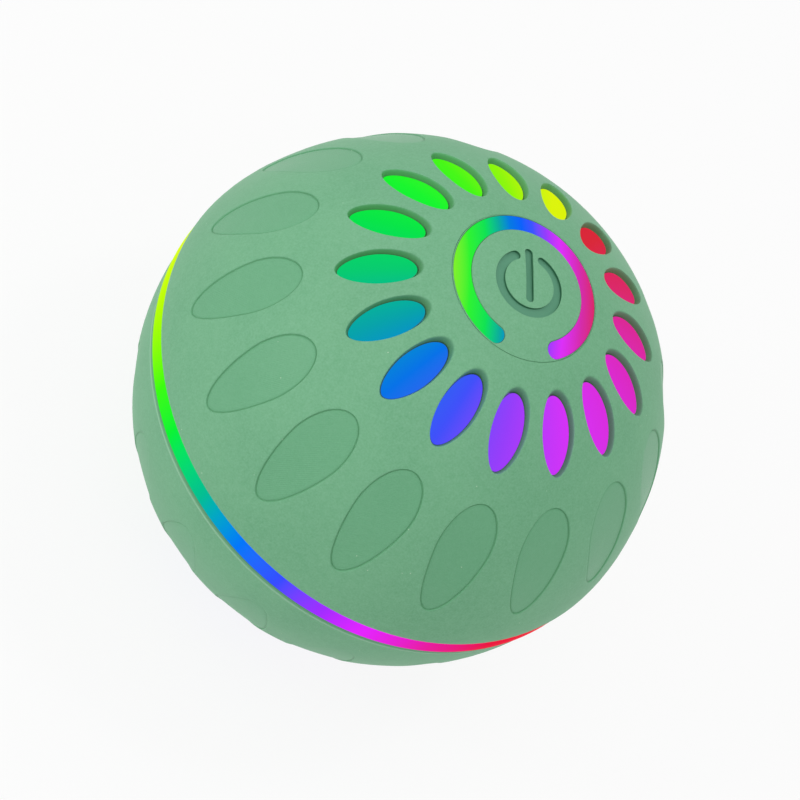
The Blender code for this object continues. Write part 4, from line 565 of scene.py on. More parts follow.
# %% Tone drift group
drift_group, given, result = group_shell("tone_drift", (("Scale", 60.0), ("Contrast", 1.6)), ("Mask",))
cloud = node(drift_group, "ShaderNodeTexNoise", in_Vector=given.outputs["Vector"], in_Scale=given.outputs["Scale"])
cloud.inputs["Detail"].default_value = 4.0
centred = math_node(drift_group, "SUBTRACT", cloud.outputs[0], 0.5)
pushed = math_node(drift_group, "MULTIPLY", centred, given.outputs["Contrast"])
drift_mask = node(drift_group, "ShaderNodeMath", operation="ADD", use_clamp=True, in_0=pushed, in_1=0.5)
drift_group.links.new(drift_mask.outputs[0], result.inputs["Mask"])
print("group", drift_group.name)

# %% [markdown]
# ### Specks
# Dust and tiny bright flecks in rubber are points far apart. A cell pattern gives each cell a distance to its point
# and a value of its own: only near the point, and only in a few cells, does the mask rise.

# %% Speck group
speck_group, given, result = group_shell("specks", (("Scale", 500.0), ("Size", 0.1), ("Kept", 0.1)), ("Mask",))
cells = node(speck_group, "ShaderNodeTexVoronoi", in_Vector=given.outputs["Vector"], in_Scale=given.outputs["Scale"])
near = math_node(speck_group, "LESS_THAN", cells.outputs["Distance"], given.outputs["Size"])
chance = node(speck_group, "ShaderNodeSeparateColor", in_Color=cells.outputs["Color"]).outputs[0]
chosen = math_node(speck_group, "LESS_THAN", chance, given.outputs["Kept"])
speck_group.links.new(math_node(speck_group, "MULTIPLY", near, chosen), result.inputs["Mask"])
print("group", speck_group.name)

# %% [markdown]
# ### Turned streaks
# Pins, screws, gears and cans come off a lathe or a press with fine rings round their axis. Noise stretched along one
# direction gives such streaks.

# %% Streak group
streak_group, given, result = group_shell("turned_streaks", (("Scale", 900.0),), ("Height",))
stretch = node(streak_group, "ShaderNodeMapping", in_Vector=given.outputs["Vector"], in_Scale=(0.04, 0.04, 1.0))
streaks = node(streak_group, "ShaderNodeTexNoise", in_Vector=stretch.outputs[0], in_Scale=given.outputs["Scale"])
streaks.inputs["Detail"].default_value = 2.0
streak_group.links.new(streaks.outputs[0], result.inputs["Height"])
print("group", streak_group.name)

# %% [markdown]
# ## Materials
# A helper starts each material with its shader, object coordinates and a bump, and the finishes below add what is
# their own. Colours are written as they look on a screen, from 0 to 255, and turned into the linear values that the
# shader wants.

# %% Material helpers


def tone(red, green, blue):
    """A screen colour as a linear one with full alpha."""

    def linear(value):
        share = value / 255.0
        return share / 12.92 if share <= 0.04045 else ((share + 0.055) / 1.055) ** 2.4

    return (linear(red), linear(green), linear(blue), 1.0)


def started(name, roughness, **sockets):
    """A material, its tree, its shader and its object coordinates."""
    material = bpy.data.materials.new(name)
    material.use_nodes = True
    tree = material.node_tree
    shader = tree.nodes["Principled BSDF"]
    shader.inputs["Roughness"].default_value = roughness
    for label, value in sockets.items():
        shader.inputs[label.replace("_", " ")].default_value = value
    return material, tree, shader, node(tree, "ShaderNodeTexCoord").outputs["Object"]


def placed(tree, group, vector, **settings):
    """A group node in a tree, with its inputs set; the first output is given back."""
    made = node(tree, "ShaderNodeGroup", node_tree=group, in_Vector=vector)
    for label, value in settings.items():
        made.inputs[label.replace("_", " ")].default_value = value
    return made.outputs[0]


def mixed(tree, mask, first, second):
    """Two colours or colour sockets mixed by a mask."""
    made = node(tree, "ShaderNodeMix", data_type="RGBA", in_0=mask, in_6=first, in_7=second)
    return made.outputs[2]


def ranged(tree, value, low, high):
    """A value from 0 to 1 spread over a new range."""
    return node(tree, "ShaderNodeMapRange", in_0=value, in_3=low, in_4=high).outputs[0]


def bumped(tree, shader, height, strength, distance, normal=None):
    """A bump in front of the shader's normal."""
    made = node(tree, "ShaderNodeBump", in_Strength=strength, in_Distance=distance, in_Height=height)
    if normal:
        tree.links.new(normal, made.inputs["Normal"])
    tree.links.new(made.outputs[0], shader.inputs["Normal"])
    return made.outputs[0]


# %% [markdown]
# ## The green rubber
# The skins, the button and the plug are one matte silicone rubber: grey-green, with a faint drift of tone, a fine
# grain, a few pale flecks, and a soft sheen where it turns away. Walls, grooves and the sign's sunk floor get painted
# shade, a deeper green where light hardly reaches them, and the sign's walls a still darker painted shade; a lip,
# whose mark is below zero, gets a painted highlight, a paler green. The pads also carry hair-fine diagonal ribs,
# which the picture shows where one pad catches the light. They follow the skin's flat layout, so they bend with the
# surface.

# %% Green rubber
RUBBER_LIGHT = tone(115, 178, 135)
RUBBER_DEEP = tone(105, 169, 127)
RUBBER_PALE = tone(138, 194, 157)
PAD_GREEN = tone(104, 171, 128)
FLECK = tone(176, 208, 178)
# Painted tones follow: shade for the sign's sunk floor, a highlight for lips, shade for walls, grooves and rims, and
# a darker shade along the sign's walls.
PAINTED_FLOOR_SHADE_GREEN = tone(96, 157, 126)
PAINTED_HIGHLIGHT_GREEN = tone(156, 204, 170)
PAINTED_SHADE_GREEN = tone(92, 150, 104)
SHADE_GREEN = tone(44, 100, 70)
# Mixing shares of the pad's tint and of the lip's painted highlight.
PAD_TINT = 0.55
PAINTED_HIGHLIGHT_TINT = 0.8
PAD_GLOSS = 0.12
GRAIN_DEPTH = 0.03 * MM
RIB_DEPTH = 0.02 * MM
RIB_PITCH = 0.3
WAVE_UNIT = 0.314
RIB_SLANT = math.radians(142.0)


def green_rubber(name, ribbed):
    """The rubber finish; the ribs need a skin's flat layout and pad mask."""
    sockets = {"IOR": 1.41, "Specular_IOR_Level": 0.26, "Sheen_Weight": 0.02, "Sheen_Roughness": 0.4}
    material, tree, shader, place = started(name, 0.5, Sheen_Tint=tone(214, 232, 216), **sockets)
    drift = placed(tree, drift_group, place, Scale=95.0, Contrast=1.8)
    flecks = placed(tree, speck_group, place, Scale=900.0, Size=0.08, Kept=0.05)
    grain = placed(tree, grain_group, place, Scale=3600.0)
    base = mixed(tree, drift, RUBBER_LIGHT, RUBBER_DEEP)
    speckle = node(tree, "ShaderNodeMapRange", in_0=grain, in_1=0.45, in_2=0.95, in_3=0.0, in_4=0.5)
    base = mixed(tree, speckle.outputs[0], base, RUBBER_PALE)
    # Painted shade: walls, grooves and the sign's sunk floor are darkened by their attribute, the sign's walls most.
    painted_shade_mask = node(tree, "ShaderNodeAttribute", attribute_name="wall" if ribbed else "sunk").outputs["Fac"]
    base = mixed(tree, painted_shade_mask, base, PAINTED_SHADE_GREEN if ribbed else PAINTED_FLOOR_SHADE_GREEN)
    if not ribbed:
        painted_wall_shade_mask = math_node(tree, "MULTIPLY", painted_shade_mask, math_node(tree, "SUBTRACT", 1.0, painted_shade_mask))
        base = mixed(tree, ranged(tree, painted_wall_shade_mask, 0.0, 4.0), base, SHADE_GREEN)
    mark = node(tree, "ShaderNodeAttribute", attribute_name="mark").outputs["Fac"]
    base = mixed(tree, math_node(tree, "MULTIPLY", mark, PAD_TINT), base, PAD_GREEN)
    # Painted highlight: a mark below zero pales a lip.
    base = mixed(tree, math_node(tree, "MULTIPLY", mark, -PAINTED_HIGHLIGHT_TINT), base, PAINTED_HIGHLIGHT_GREEN)
    tree.links.new(mixed(tree, flecks, base, FLECK), shader.inputs["Base Color"])
    gloss = ranged(tree, grain, 0.42, 0.56)
    normal = bumped(tree, shader, grain, 0.8, GRAIN_DEPTH)
    if ribbed:
        layout = node(tree, "ShaderNodeUVMap", uv_map="layout").outputs[0]
        turned = node(tree, "ShaderNodeMapping", in_Vector=layout, in_Rotation=(0.0, 0.0, RIB_SLANT))
        wave = node(tree, "ShaderNodeTexWave", in_Vector=turned.outputs[0], in_Scale=WAVE_UNIT / RIB_PITCH)
        wave.inputs["Distortion"].default_value = 2.6
        wave.inputs["Detail Scale"].default_value = 0.8
        ribs = math_node(tree, "MULTIPLY", wave.outputs["Fac"], mark)
        bumped(tree, shader, ribs, 0.6, RIB_DEPTH, normal)
        gloss = math_node(tree, "SUBTRACT", gloss, math_node(tree, "MULTIPLY", mark, PAD_GLOSS))
    tree.links.new(gloss, shader.inputs["Roughness"])
    return material


rubber = green_rubber("green_rubber", ribbed=True)
button_rubber = green_rubber("button_rubber", ribbed=False)
print("rubber finishes", rubber.name, button_rubber.name)

# %% [markdown]
# ## The upper skin
# The upper skin is the gore with a plain rim, wrapped on the upper side. It replaces the frame's own plain skin.

# %% Upper skin
top_shape = gore(UPPER_RIM, HOLE_EDGE)
wrap_gores(top_shape, 1.0, 0.0)
top_skin = finished("upper_skin", top_shape, rubber)
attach(top_skin, "ball")
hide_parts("top_skin")

# %% [markdown]
# ## The lower skin
# The lower skin is the same gore mirrored to the other pole and turned a few degrees. It has no button, so the rows
# round its pole go on inward over the pole, outside and inside, and meet down the wall of the long mouth that the
# charging port's plug fills.

# %% Lower skin
PLUG_MOUTH = (7.7 * MM, 4.3 * MM)
MOUTH_ROWS = (0.3, 0.6, 0.85, 0.97)
MOUTH_EDGE = 0.12 * MM
INNER_MOUTH_ROWS = (0.4, 0.8, 1.0)


def stadium_reach(azimuth, half_length, half_width):
    """Distance from the pole to a long round-ended outline, in the direction of an azimuth."""
    run, rise = abs(math.cos(azimuth)), abs(math.sin(azimuth))
    straight = half_length - half_width
    if half_width * run <= straight * rise:
        return half_width / rise
    along = straight * run
    return along + math.sqrt(along**2 - straight**2 + half_width**2)


def polar_rows(shape, edges, rows, depth, start):
    """Rows that run over the lower pole from a round row of edges towards the plug's mouth."""
    for share in rows:
        fresh, edges = extruded(shape, edges)
        for vert in fresh:
            azimuth = math.atan2(vert.co.y, vert.co.x)
            reach = start + (stadium_reach(azimuth, *PLUG_MOUTH) - start) * share
            vert.co = (reach * math.cos(azimuth), reach * math.sin(azimuth), -dome_height(reach, depth))
    return edges


def open_ring(shape, depth):
    """The open edges round the lower pole at one depth under the surface."""
    return [
        edge
        for edge in shape.edges
        if edge.is_boundary
        and all(abs(vert.co.z + dome_height(vert.co.xy.length, depth)) < WELD for vert in edge.verts)
    ]


bottom_shape = gore(LOWER_RIM, ())
wrap_gores(bottom_shape, -1.0, LOWER_TURN)
outside = open_ring(bottom_shape, 0.0)
inside = open_ring(bottom_shape, SKIN_THICKNESS)
start_radius = BALL_RADIUS * math.sin(GORE_START / BALL_RADIUS)
outside = polar_rows(bottom_shape, outside, MOUTH_ROWS, 0.0, start_radius)
outside = polar_rows(bottom_shape, outside, (1.0,), MOUTH_EDGE, start_radius)
inside = polar_rows(bottom_shape, inside, INNER_MOUTH_ROWS, SKIN_THICKNESS, SKIN_HOLE_RADIUS)
bmesh.ops.bridge_loops(bottom_shape, edges=outside + inside)
bottom_skin = finished("lower_skin", bottom_shape, rubber)
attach(bottom_skin, "ball")
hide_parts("bottom_skin")

# %% [markdown]
# ## The lights
# The shell's light, seen through the windows, changes hue with the direction round the pole: a sweep from yellow
# through green, blue and violet to red, with one hard step. The ring round the button instead changes from left to
# right, and the band has its own sweep. Each is an emission whose colour comes from a ramp, over a nearly black base,
# so the lamps' colour is seen at its full strength under any light. The broken rim of a lens lets little light out,
# so where the mark is set the glow turns to a dull grey.

# %% Light finishes


def ramp(tree, factor, stops):
    """A colour ramp with stops of (place, colour)."""
    made = node(tree, "ShaderNodeValToRGB", in_Fac=factor)
    elements = made.color_ramp.elements
    elements[0].position, elements[0].color = stops[0]
    elements[1].position, elements[1].color = stops[-1]
    for place, colour in stops[1:-1]:
        elements.new(place).color = colour
    return made.outputs["Color"]


LIGHT_BASE = tone(4, 4, 4)
LIGHT_RIM = tone(58, 66, 62)


def glowing(name, roughness):
    """A dark satin plastic that is seen by its own light."""
    material, tree, shader, place = started(name, roughness, Base_Color=LIGHT_BASE, IOR=1.01)
    shader.inputs["Emission Strength"].default_value = 1.0
    haze = placed(tree, drift_group, place, Scale=160.0, Contrast=1.2)
    tree.links.new(ranged(tree, haze, roughness - 0.06, roughness + 0.06), shader.inputs["Roughness"])
    return material, tree, shader, place


def lit(tree, shader, colour):
    """Gives the shader its light's colour, dull grey on the rim of a piece."""
    rim = node(tree, "ShaderNodeAttribute", attribute_name="mark").outputs["Fac"]
    tree.links.new(mixed(tree, rim, colour, LIGHT_RIM), shader.inputs["Emission Color"])


def sweep(tree, place, start):
    """The direction round the axis as a share of a turn, from a starting azimuth."""
    turned = node(tree, "ShaderNodeMapping", in_Vector=place, in_Rotation=(0.0, 0.0, math.pi - math.radians(start)))
    parts = node(tree, "ShaderNodeSeparateXYZ", in_Vector=turned.outputs[0])
    angle = math_node(tree, "ARCTAN2", parts.outputs["Y"], parts.outputs["X"])
    return math_node(tree, "ADD", math_node(tree, "DIVIDE", angle, 2 * math.pi), 0.5)


def swept_glow(name, roughness, start, pairs):
    """A glow whose hue follows the direction round the axis, from pairs of azimuth and screen colour."""
    material, tree, shader, place = glowing(name, roughness)
    stops = [((azimuth - start) / 360.0, tone(*colour)) for azimuth, colour in pairs]
    lit(tree, shader, ramp(tree, sweep(tree, place, start), stops))
    return material


SHELL_SWEEP_START = 56.25
SHELL_SWEEP = (
    (67.5, (220, 244, 8)),
    (90.0, (142, 247, 10)),
    (112.0, (70, 247, 22)),
    (135.0, (24, 246, 46)),
    (157.0, (5, 229, 71)),
    (180.0, (5, 203, 112)),
    (202.0, (5, 163, 169)),
    (225.0, (5, 114, 232)),
    (247.0, (64, 80, 250)),
    (270.0, (150, 62, 250)),
    (300.0, (214, 50, 247)),
    (337.0, (219, 42, 203)),
    (382.0, (219, 40, 105)),
    (405.0, (217, 38, 56)),
)
shell_glow = swept_glow("shell_glow", 0.35, SHELL_SWEEP_START, SHELL_SWEEP)

BAND_SWEEP_START = 140.0
BAND_SWEEP = (
    (155.0, (220, 254, 0)),
    (172.0, (186, 254, 0)),
    (192.0, (58, 252, 14)),
    (202.0, (6, 243, 50)),
    (217.0, (0, 190, 144)),
    (230.0, (0, 118, 250)),
    (241.0, (52, 76, 255)),
    (252.0, (160, 44, 255)),
    (262.0, (228, 36, 255)),
    (277.0, (232, 28, 160)),
    (292.0, (236, 18, 62)),
    (330.0, (235, 40, 20)),
    (420.0, (240, 140, 20)),
    (499.0, (214, 240, 10)),
)
band_glow = swept_glow("band_glow", 0.3, BAND_SWEEP_START, BAND_SWEEP)

RING_SWEEP = (
    (-11.4, (125, 240, 45)),
    (-9.2, (45, 243, 48)),
    (-6.6, (14, 226, 82)),
    (-4.4, (8, 172, 155)),
    (-2.6, (2, 122, 225)),
    (-0.6, (10, 96, 252)),
    (1.2, (60, 84, 255)),
    (3.4, (150, 60, 252)),
    (5.8, (220, 48, 248)),
    (9.0, (213, 44, 170)),
    (11.4, (219, 42, 105)),
)
RING_REACH = 11.45
ring_glow, tree, shader, place = glowing("ring_glow", 0.3)
parts = node(tree, "ShaderNodeSeparateXYZ", in_Vector=place)
spread = node(tree, "ShaderNodeMapRange", in_0=parts.outputs["X"], in_1=-RING_REACH * MM, in_2=RING_REACH * MM)
stops = [((across + RING_REACH) / (2 * RING_REACH), tone(*colour)) for across, colour in RING_SWEEP]
lit(tree, shader, ramp(tree, spread.outputs[0], stops))
print("light finishes", shell_glow.name, band_glow.name, ring_glow.name)

# %% [markdown]
# ## The lenses in the windows
# Each window is filled from below by an egg-shaped pad of the lit shell, which holds the skin in place and brings the
# light nearer to the surface. A pad is one more run of rings: up a short wall, over a broken edge, and in to the
# middle. Its rows say how far inward, how far sunk and how dull they are.

# %% Window lenses
LENS_DEPTH = 0.86 * MM
LENS_FOOT = 1.9 * MM
LENS_EDGE = ((0.02, 1.9, 1.0), (0.02, 0.92, 1.0), (0.05, 0.86, 0.6), (0.09, 0.86, 0.0))


def window_lenses(name, side, turn):
    """Sixteen pads that stand in the windows of one skin."""
    shape = numbered_shape()
    for rows, depth in ((LENS_EDGE, LENS_DEPTH), (LENS_EDGE[:1], LENS_FOOT)):
        ring = first_ring(shape, inside_oval(WINDOW, WINDOW_POWERS, *rows[0][:2]))
        for inward, sunk, marked in rows[1:]:
            ring = next_row(shape, ring, inside_oval(WINDOW, WINDOW_POWERS, inward, sunk), marked)
        close_rings(shape, ring, depth, 0.0, middle_arc=WINDOW[1])
    bmesh.ops.remove_doubles(shape, verts=shape.verts, dist=WELD)
    wrap_gores(shape, side, turn)
    lenses = finished(name, shape, shell_glow)
    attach(lenses, "ball")


window_lenses("upper_window_lenses", 1.0, 0.0)
window_lenses("lower_window_lenses", -1.0, LOWER_TURN)

# %% [markdown]
# ## The light band
# The band is a turned ring. Its head is a hair lower than the skins, with broken edges and a slightly crowned face.
# The head's lower edge is trimmed and steps back into a dark groove beside the lower skin. Its web runs inward
# between the two shells, so one closed profile is spun round the axis.

# %% Light band
BAND_FACE = 39.7 * MM
BAND_HALF = 1.83 * MM
BAND_TRIM = 0.3 * MM
BAND_STEP = 0.5 * MM
BAND_RIM = 0.04 * MM
BAND_NECK = 38.2 * MM
BAND_WEB_HALF = 0.8 * MM
BAND_INNER = 35.3 * MM
BAND_EDGE = 0.1 * MM
BAND_CROWN = 0.05 * MM
BAND_STEPS = 192


def band_profile():
    """The band's closed profile, from the web's inner edge over the top and round."""
    broken = [(1.0, 0.0), (0.25, 0.5), (0.0, 1.2)]
    face = [(BAND_FACE - back * BAND_EDGE, BAND_HALF - down * BAND_EDGE) for back, down in broken]
    half = [(BAND_INNER, BAND_WEB_HALF), (BAND_NECK, BAND_WEB_HALF), (BAND_NECK, BAND_HALF), *face]
    crown = [(BAND_FACE + BAND_CROWN, 0.0)]
    trimmed = [(radius, BAND_TRIM - height) for radius, height in reversed(face)]
    step = [(BAND_FACE - BAND_STEP, BAND_TRIM - BAND_HALF), (BAND_FACE - BAND_STEP, -BAND_HALF)]
    inner = [(radius, -height) for radius, height in reversed(half[:3])]
    return half + crown + trimmed + step + inner + half[:1]


band_shape = bmesh.new()
spun(band_shape, band_profile(), BAND_STEPS)
rim = band_shape.verts.layers.float.new("mark")
for vert in band_shape.verts:
    vert[rim] = float(vert.co.xy.length < BAND_FACE - BAND_RIM)
light_band = finished("light_band_lens", band_shape, band_glow)
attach(light_band, "ball")
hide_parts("light_band")

# %% [markdown]
# ## The ring of light and its gap
# Seen from above the ring is a round slot: an arc with round ends, open towards the viewer's near side. A short edge
# across the slot is spun round the pole for the arc, and half of it round each end for the round ends. Given many
# steps, the flat ribbon can then be lifted on the dome vertex by vertex, with no Boolean.

# %% Round slots seen from above
RING_MIDDLE = 10.25 * MM
RING_HALF_WIDTH = 1.27 * MM
RING_END = math.radians(27.9)
RING_START = -math.pi / 2 + RING_END
RING_TURN = 2 * math.pi - 2 * RING_END
RING_STEPS = 120
SLOT_END_STEPS = 14
BEVEL_ANGLE = math.radians(40.0)


def slot_ribbon(shape, middle, half_width, start, turn, steps, rows):
    """A flat round slot round the pole: rows of quads along an arc, and a half disc at either end."""
    made = []
    for row in range(rows + 1):
        reach = middle - half_width + 2 * half_width * row / rows
        made.append(shape.verts.new((reach * math.cos(start), reach * math.sin(start), 0.0)))
    across = [shape.edges.new(pair) for pair in zip(made, made[1:])]
    turned_round(shape, made + across, (0.0, 0.0, 0.0), turn, steps)
    for azimuth, sense in ((start, -1.0), (start + turn, 1.0)):
        centre = Vector((middle * math.cos(azimuth), middle * math.sin(azimuth), 0.0))
        outward = centre.normalized()
        spoke = []
        for row in range(rows // 2 + 1):
            spoke.append(shape.verts.new(centre + outward * half_width * 2 * row / rows))
        edges = [shape.edges.new(pair) for pair in zip(spoke, spoke[1:])]
        turned_round(shape, spoke + edges, centre, math.pi, SLOT_END_STEPS, axis=(0.0, 0.0, sense))
    bmesh.ops.remove_doubles(shape, verts=shape.verts, dist=WELD)


def thickened(shape, low):
    """A flat sheet's copy pushed down to a height and joined to it by a wall."""
    made = bmesh.ops.extrude_face_region(shape, geom=shape.faces[:])["geom"]
    for item in made:
        if isinstance(item, bmesh.types.BMVert):
            item.co.z = low


def edge_bevel(shape, width, segments, keep):
    """Bevels the sharp edges that a test keeps."""
    bmesh.ops.recalc_face_normals(shape, faces=shape.faces)
    found = [edge for edge in shape.edges if len(edge.link_faces) == 2 and edge.calc_face_angle(0.0) > BEVEL_ANGLE]
    bmesh.ops.bevel(
        shape,
        geom=[edge for edge in found if keep(edge)],
        offset=width,
        segments=segments,
        profile=0.5,
        affect="EDGES",
        offset_type="OFFSET",
        clamp_overlap=True,
        material=-1,
    )


# %% [markdown]
# ## The ring's lens
# The ribbon becomes a slim bar: its top follows the dome, flush with the skin, its underside is flat, and the top
# edges are broken, so that a thin dull line parts the light from the rubber.

# %% Ring lens
RING_SUNK = 0.02 * MM
RING_RIM = 0.06 * MM
RING_EDGE = 0.07 * MM
RING_LOW = 35.6 * MM
ring_shape = bmesh.new()
slot_ribbon(ring_shape, RING_MIDDLE, RING_HALF_WIDTH, RING_START, RING_TURN, RING_STEPS, 6)
for vert in ring_shape.verts:
    vert.co.z = cap_height(vert.co.xy.length) - RING_SUNK
thickened(ring_shape, RING_LOW)
edge_bevel(ring_shape, RING_EDGE, 2, lambda edge: min(vert.co.z for vert in edge.verts) > RING_LOW + MM)
rim = ring_shape.verts.layers.float.new("mark")
for vert in ring_shape.verts:
    vert[rim] = float(vert.co.z < cap_height(vert.co.xy.length) - RING_SUNK - RING_RIM)
ring_lens = finished("ring_light_lens", ring_shape, ring_glow)
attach(ring_lens, "ball")
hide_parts("ring_light_guide")

# %% [markdown]
# ## The button
# The button is an island inside the ring, with a tongue that runs out through the ring's gap. A domed disc as wide as
# the tongue's end is spun with close rings, so that cutting it leaves small faces that shade well. The ring's slot,
# a clearance wider, is cut out of it, and then the power sign is sunk into its face: a bar, and an arc open at the
# top. These outlines run across the disc's rings at every angle, so a Boolean is simpler here than rows of edges.

# %% Button
BUTTON_REACH = 11.69 * MM
BUTTON_PROUD = 0.03 * MM
BUTTON_UNDER = 35.7 * MM
BUTTON_RINGS = 30
BUTTON_STEPS = 96
STEM_RADIUS = 2.2 * MM
STEM_END = 31.6 * MM
SLOT_CLEARANCE = 0.07 * MM
CUTTER_TOP = POLAR_HALF_HEIGHT + 2 * MM
SIGN_DEPTH = 0.5 * MM
SIGN_ARC = (4.66 * MM, 0.72 * MM)
SIGN_OPENING = math.radians(27.0)
SIGN_BAR = (-3.1 * MM, 5.75 * MM, 0.64 * MM)
SIGN_REACH = 6.5 * MM
# Depths under the face between which the sign's edge gets a painted highlight.
SIGN_HIGHLIGHT_DEPTHS = (0.008 * MM, 0.08 * MM)
SIGN_STEPS = 72
BAR_STEPS = 24


def cut(target, tool_shape):
    """Cuts a closed bmesh out of an object's mesh."""
    bmesh.ops.recalc_face_normals(tool_shape, faces=tool_shape.faces)
    mesh = bpy.data.meshes.new("cutter")
    tool_shape.to_mesh(mesh)
    tool_shape.free()
    tool = bpy.data.objects.new("cutter", mesh)
    bpy.context.scene.collection.objects.link(tool)
    made = target.modifiers.new("cut", "BOOLEAN")
    made.object = tool
    made.operation = "DIFFERENCE"
    made.solver = "EXACT"
    bpy.context.view_layer.update()
    result = bmesh.new()
    result.from_object(target, bpy.context.evaluated_depsgraph_get())
    target.modifiers.clear()
    result.to_mesh(target.data)
    result.free()
    bpy.data.objects.remove(tool)


def sunk_floor(shape):
    """Lays a flat cutter on the dome, the sign's depth under the button's face, and gives it its height."""
    for vert in shape.verts:
        vert.co.z = cap_height(vert.co.xy.length) + BUTTON_PROUD - SIGN_DEPTH
    thickened(shape, CUTTER_TOP)


button_shape = bmesh.new()
face_rings = [BUTTON_REACH * ring / BUTTON_RINGS for ring in range(BUTTON_RINGS + 1)]
button_profile = [(reach, cap_height(reach) + BUTTON_PROUD) for reach in face_rings]
button_profile += [(BUTTON_REACH, BUTTON_UNDER), (STEM_RADIUS, BUTTON_UNDER)]
button_profile += [(STEM_RADIUS, STEM_END), (0.0, STEM_END)]
spun(button_shape, button_profile, BUTTON_STEPS)
button = finished("power_button", button_shape, button_rubber)

slot_cutter = bmesh.new()
slot_ribbon(slot_cutter, RING_MIDDLE, RING_HALF_WIDTH + SLOT_CLEARANCE, RING_START, RING_TURN, RING_STEPS, 2)
for vert in slot_cutter.verts:
    vert.co.z = CUTTER_TOP
thickened(slot_cutter, BUTTON_UNDER - MM)
cut(button, slot_cutter)

arc_cutter = bmesh.new()
arc_start = math.pi / 2 + SIGN_OPENING
slot_ribbon(arc_cutter, *SIGN_ARC, arc_start, 2 * math.pi - 2 * SIGN_OPENING, SIGN_STEPS, 2)
sunk_floor(arc_cutter)
cut(button, arc_cutter)

bar_cutter = bmesh.new()
bmesh.ops.create_circle(bar_cutter, cap_ends=True, segments=BAR_STEPS, radius=SIGN_BAR[2])
ends = [SIGN_BAR[0] + SIGN_BAR[2], SIGN_BAR[1] - SIGN_BAR[2]]
for vert in bar_cutter.verts:
    vert.co.y += ends[0] if vert.co.y < -WELD else ends[1]
sunk_floor(bar_cutter)
cut(button, bar_cutter)
print("button after cuts", len(button.data.polygons), "faces")

# %% [markdown]
# ## Softening the button's edges
# Moulded rubber has no knife edges: the sign's rim and floor and the button's outline are all slightly round. The
# sharp edges are bevelled by a fraction of a millimetre once all cuts are made. Then the sunk floor and the thin lip
# of the sign are marked by their depth under the face, so that the finish paints shade on the floor and walls and a
# highlight on the lip.

# %% Soften the button
BUTTON_EDGE = 0.1 * MM
button_shape = bmesh.new()
button_shape.from_mesh(button.data)
bmesh.ops.remove_doubles(button_shape, verts=button_shape.verts, dist=WELD)
bmesh.ops.dissolve_degenerate(button_shape, edges=button_shape.edges, dist=WELD)
edge_bevel(button_shape, BUTTON_EDGE, 2, lambda edge: min(vert.co.z for vert in edge.verts) > BUTTON_UNDER + MM / 2)
bpy.data.objects.remove(button)
# The depth share drives painted shade on the sign's floor and walls; a thin band under the edge is marked for a
# painted highlight.
sunk = button_shape.verts.layers.float.new("sunk")
painted_highlight_layer = button_shape.verts.layers.float.new("mark")
for vert in button_shape.verts:
    reach = vert.co.xy.length
    if reach < SIGN_REACH:
        below = cap_height(reach) + BUTTON_PROUD - vert.co.z
        vert[sunk] = min(max(below / SIGN_DEPTH, 0.0), 1.0)
        vert[painted_highlight_layer] = -1.0 if SIGN_HIGHLIGHT_DEPTHS[0] < below < SIGN_HIGHLIGHT_DEPTHS[1] else 0.0
button = finished("power_button", button_shape, button_rubber)
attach(button, "button")
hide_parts("button_cap")

# %% [markdown]
# ## The port's plug
# On the lower pole a rubber plug fills the mouth of the charging port: a head with round ends that follows the ball,
# a lug that goes into the socket, and a tether with a barb that keeps the plug on the ball. The head starts as a flat
# round-ended sheet of close rows, so it can be laid on the dome.

# %% Port plug
PLUG_HEAD = (7.4 * MM, 4.0 * MM)
PLUG_HEAD_TOP = 37.0 * MM
PLUG_LUG = (3.85 * MM, 1.0 * MM)
PLUG_LUG_TOP = 32.4 * MM
TETHER = (5.9 * MM, 0.7 * MM)
BARB = (1.2 * MM, 1.2 * MM)
BARB_STEP = 0.15 * MM
PLUG_EDGE = 0.22 * MM
PLUG_ROOT = -PLUG_HEAD_TOP - MM / 2
PLUG_GRID = {"segments": 96, "rows": 7}
LUG_GRID = {"segments": 32, "rows": 2}
TETHER_STEPS = 24


def stadium_sheet(shape, half_length, half_width, segments, rows):
    """A flat round-ended sheet round the axis, from shrinking rings."""
    ring = bmesh.ops.create_circle(shape, segments=segments, radius=half_width)["verts"]
    for vert in ring:
        vert.co.x += math.copysign(half_length - half_width, vert.co.x)
    edges = list({edge for vert in ring for edge in vert.link_edges})
    for row in range(1, rows):
        fresh, edges = extruded(shape, edges)
        bmesh.ops.scale(shape, vec=((rows - row) / (rows - row + 1),) * 3, verts=list(fresh))
    bmesh.ops.edgeloop_fill(shape, edges=edges)


plug_shape = bmesh.new()
stadium_sheet(plug_shape, *PLUG_HEAD, **PLUG_GRID)
for vert in plug_shape.verts:
    vert.co.z = -dome_height(vert.co.xy.length)
thickened(plug_shape, -PLUG_HEAD_TOP)
edge_bevel(plug_shape, PLUG_EDGE, 3, lambda edge: max(vert.co.z for vert in edge.verts) < PLUG_ROOT)
plug_head = finished("port_plug_head", plug_shape, button_rubber)
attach(plug_head, "plug")
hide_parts("port_plug")

lug_shape = bmesh.new()
stadium_sheet(lug_shape, *PLUG_LUG, **LUG_GRID)
for vert in lug_shape.verts:
    vert.co.z = -PLUG_LUG_TOP
thickened(lug_shape, PLUG_ROOT)
plug_lug = finished("port_plug_lug", lug_shape, button_rubber)
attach(plug_lug, "plug")

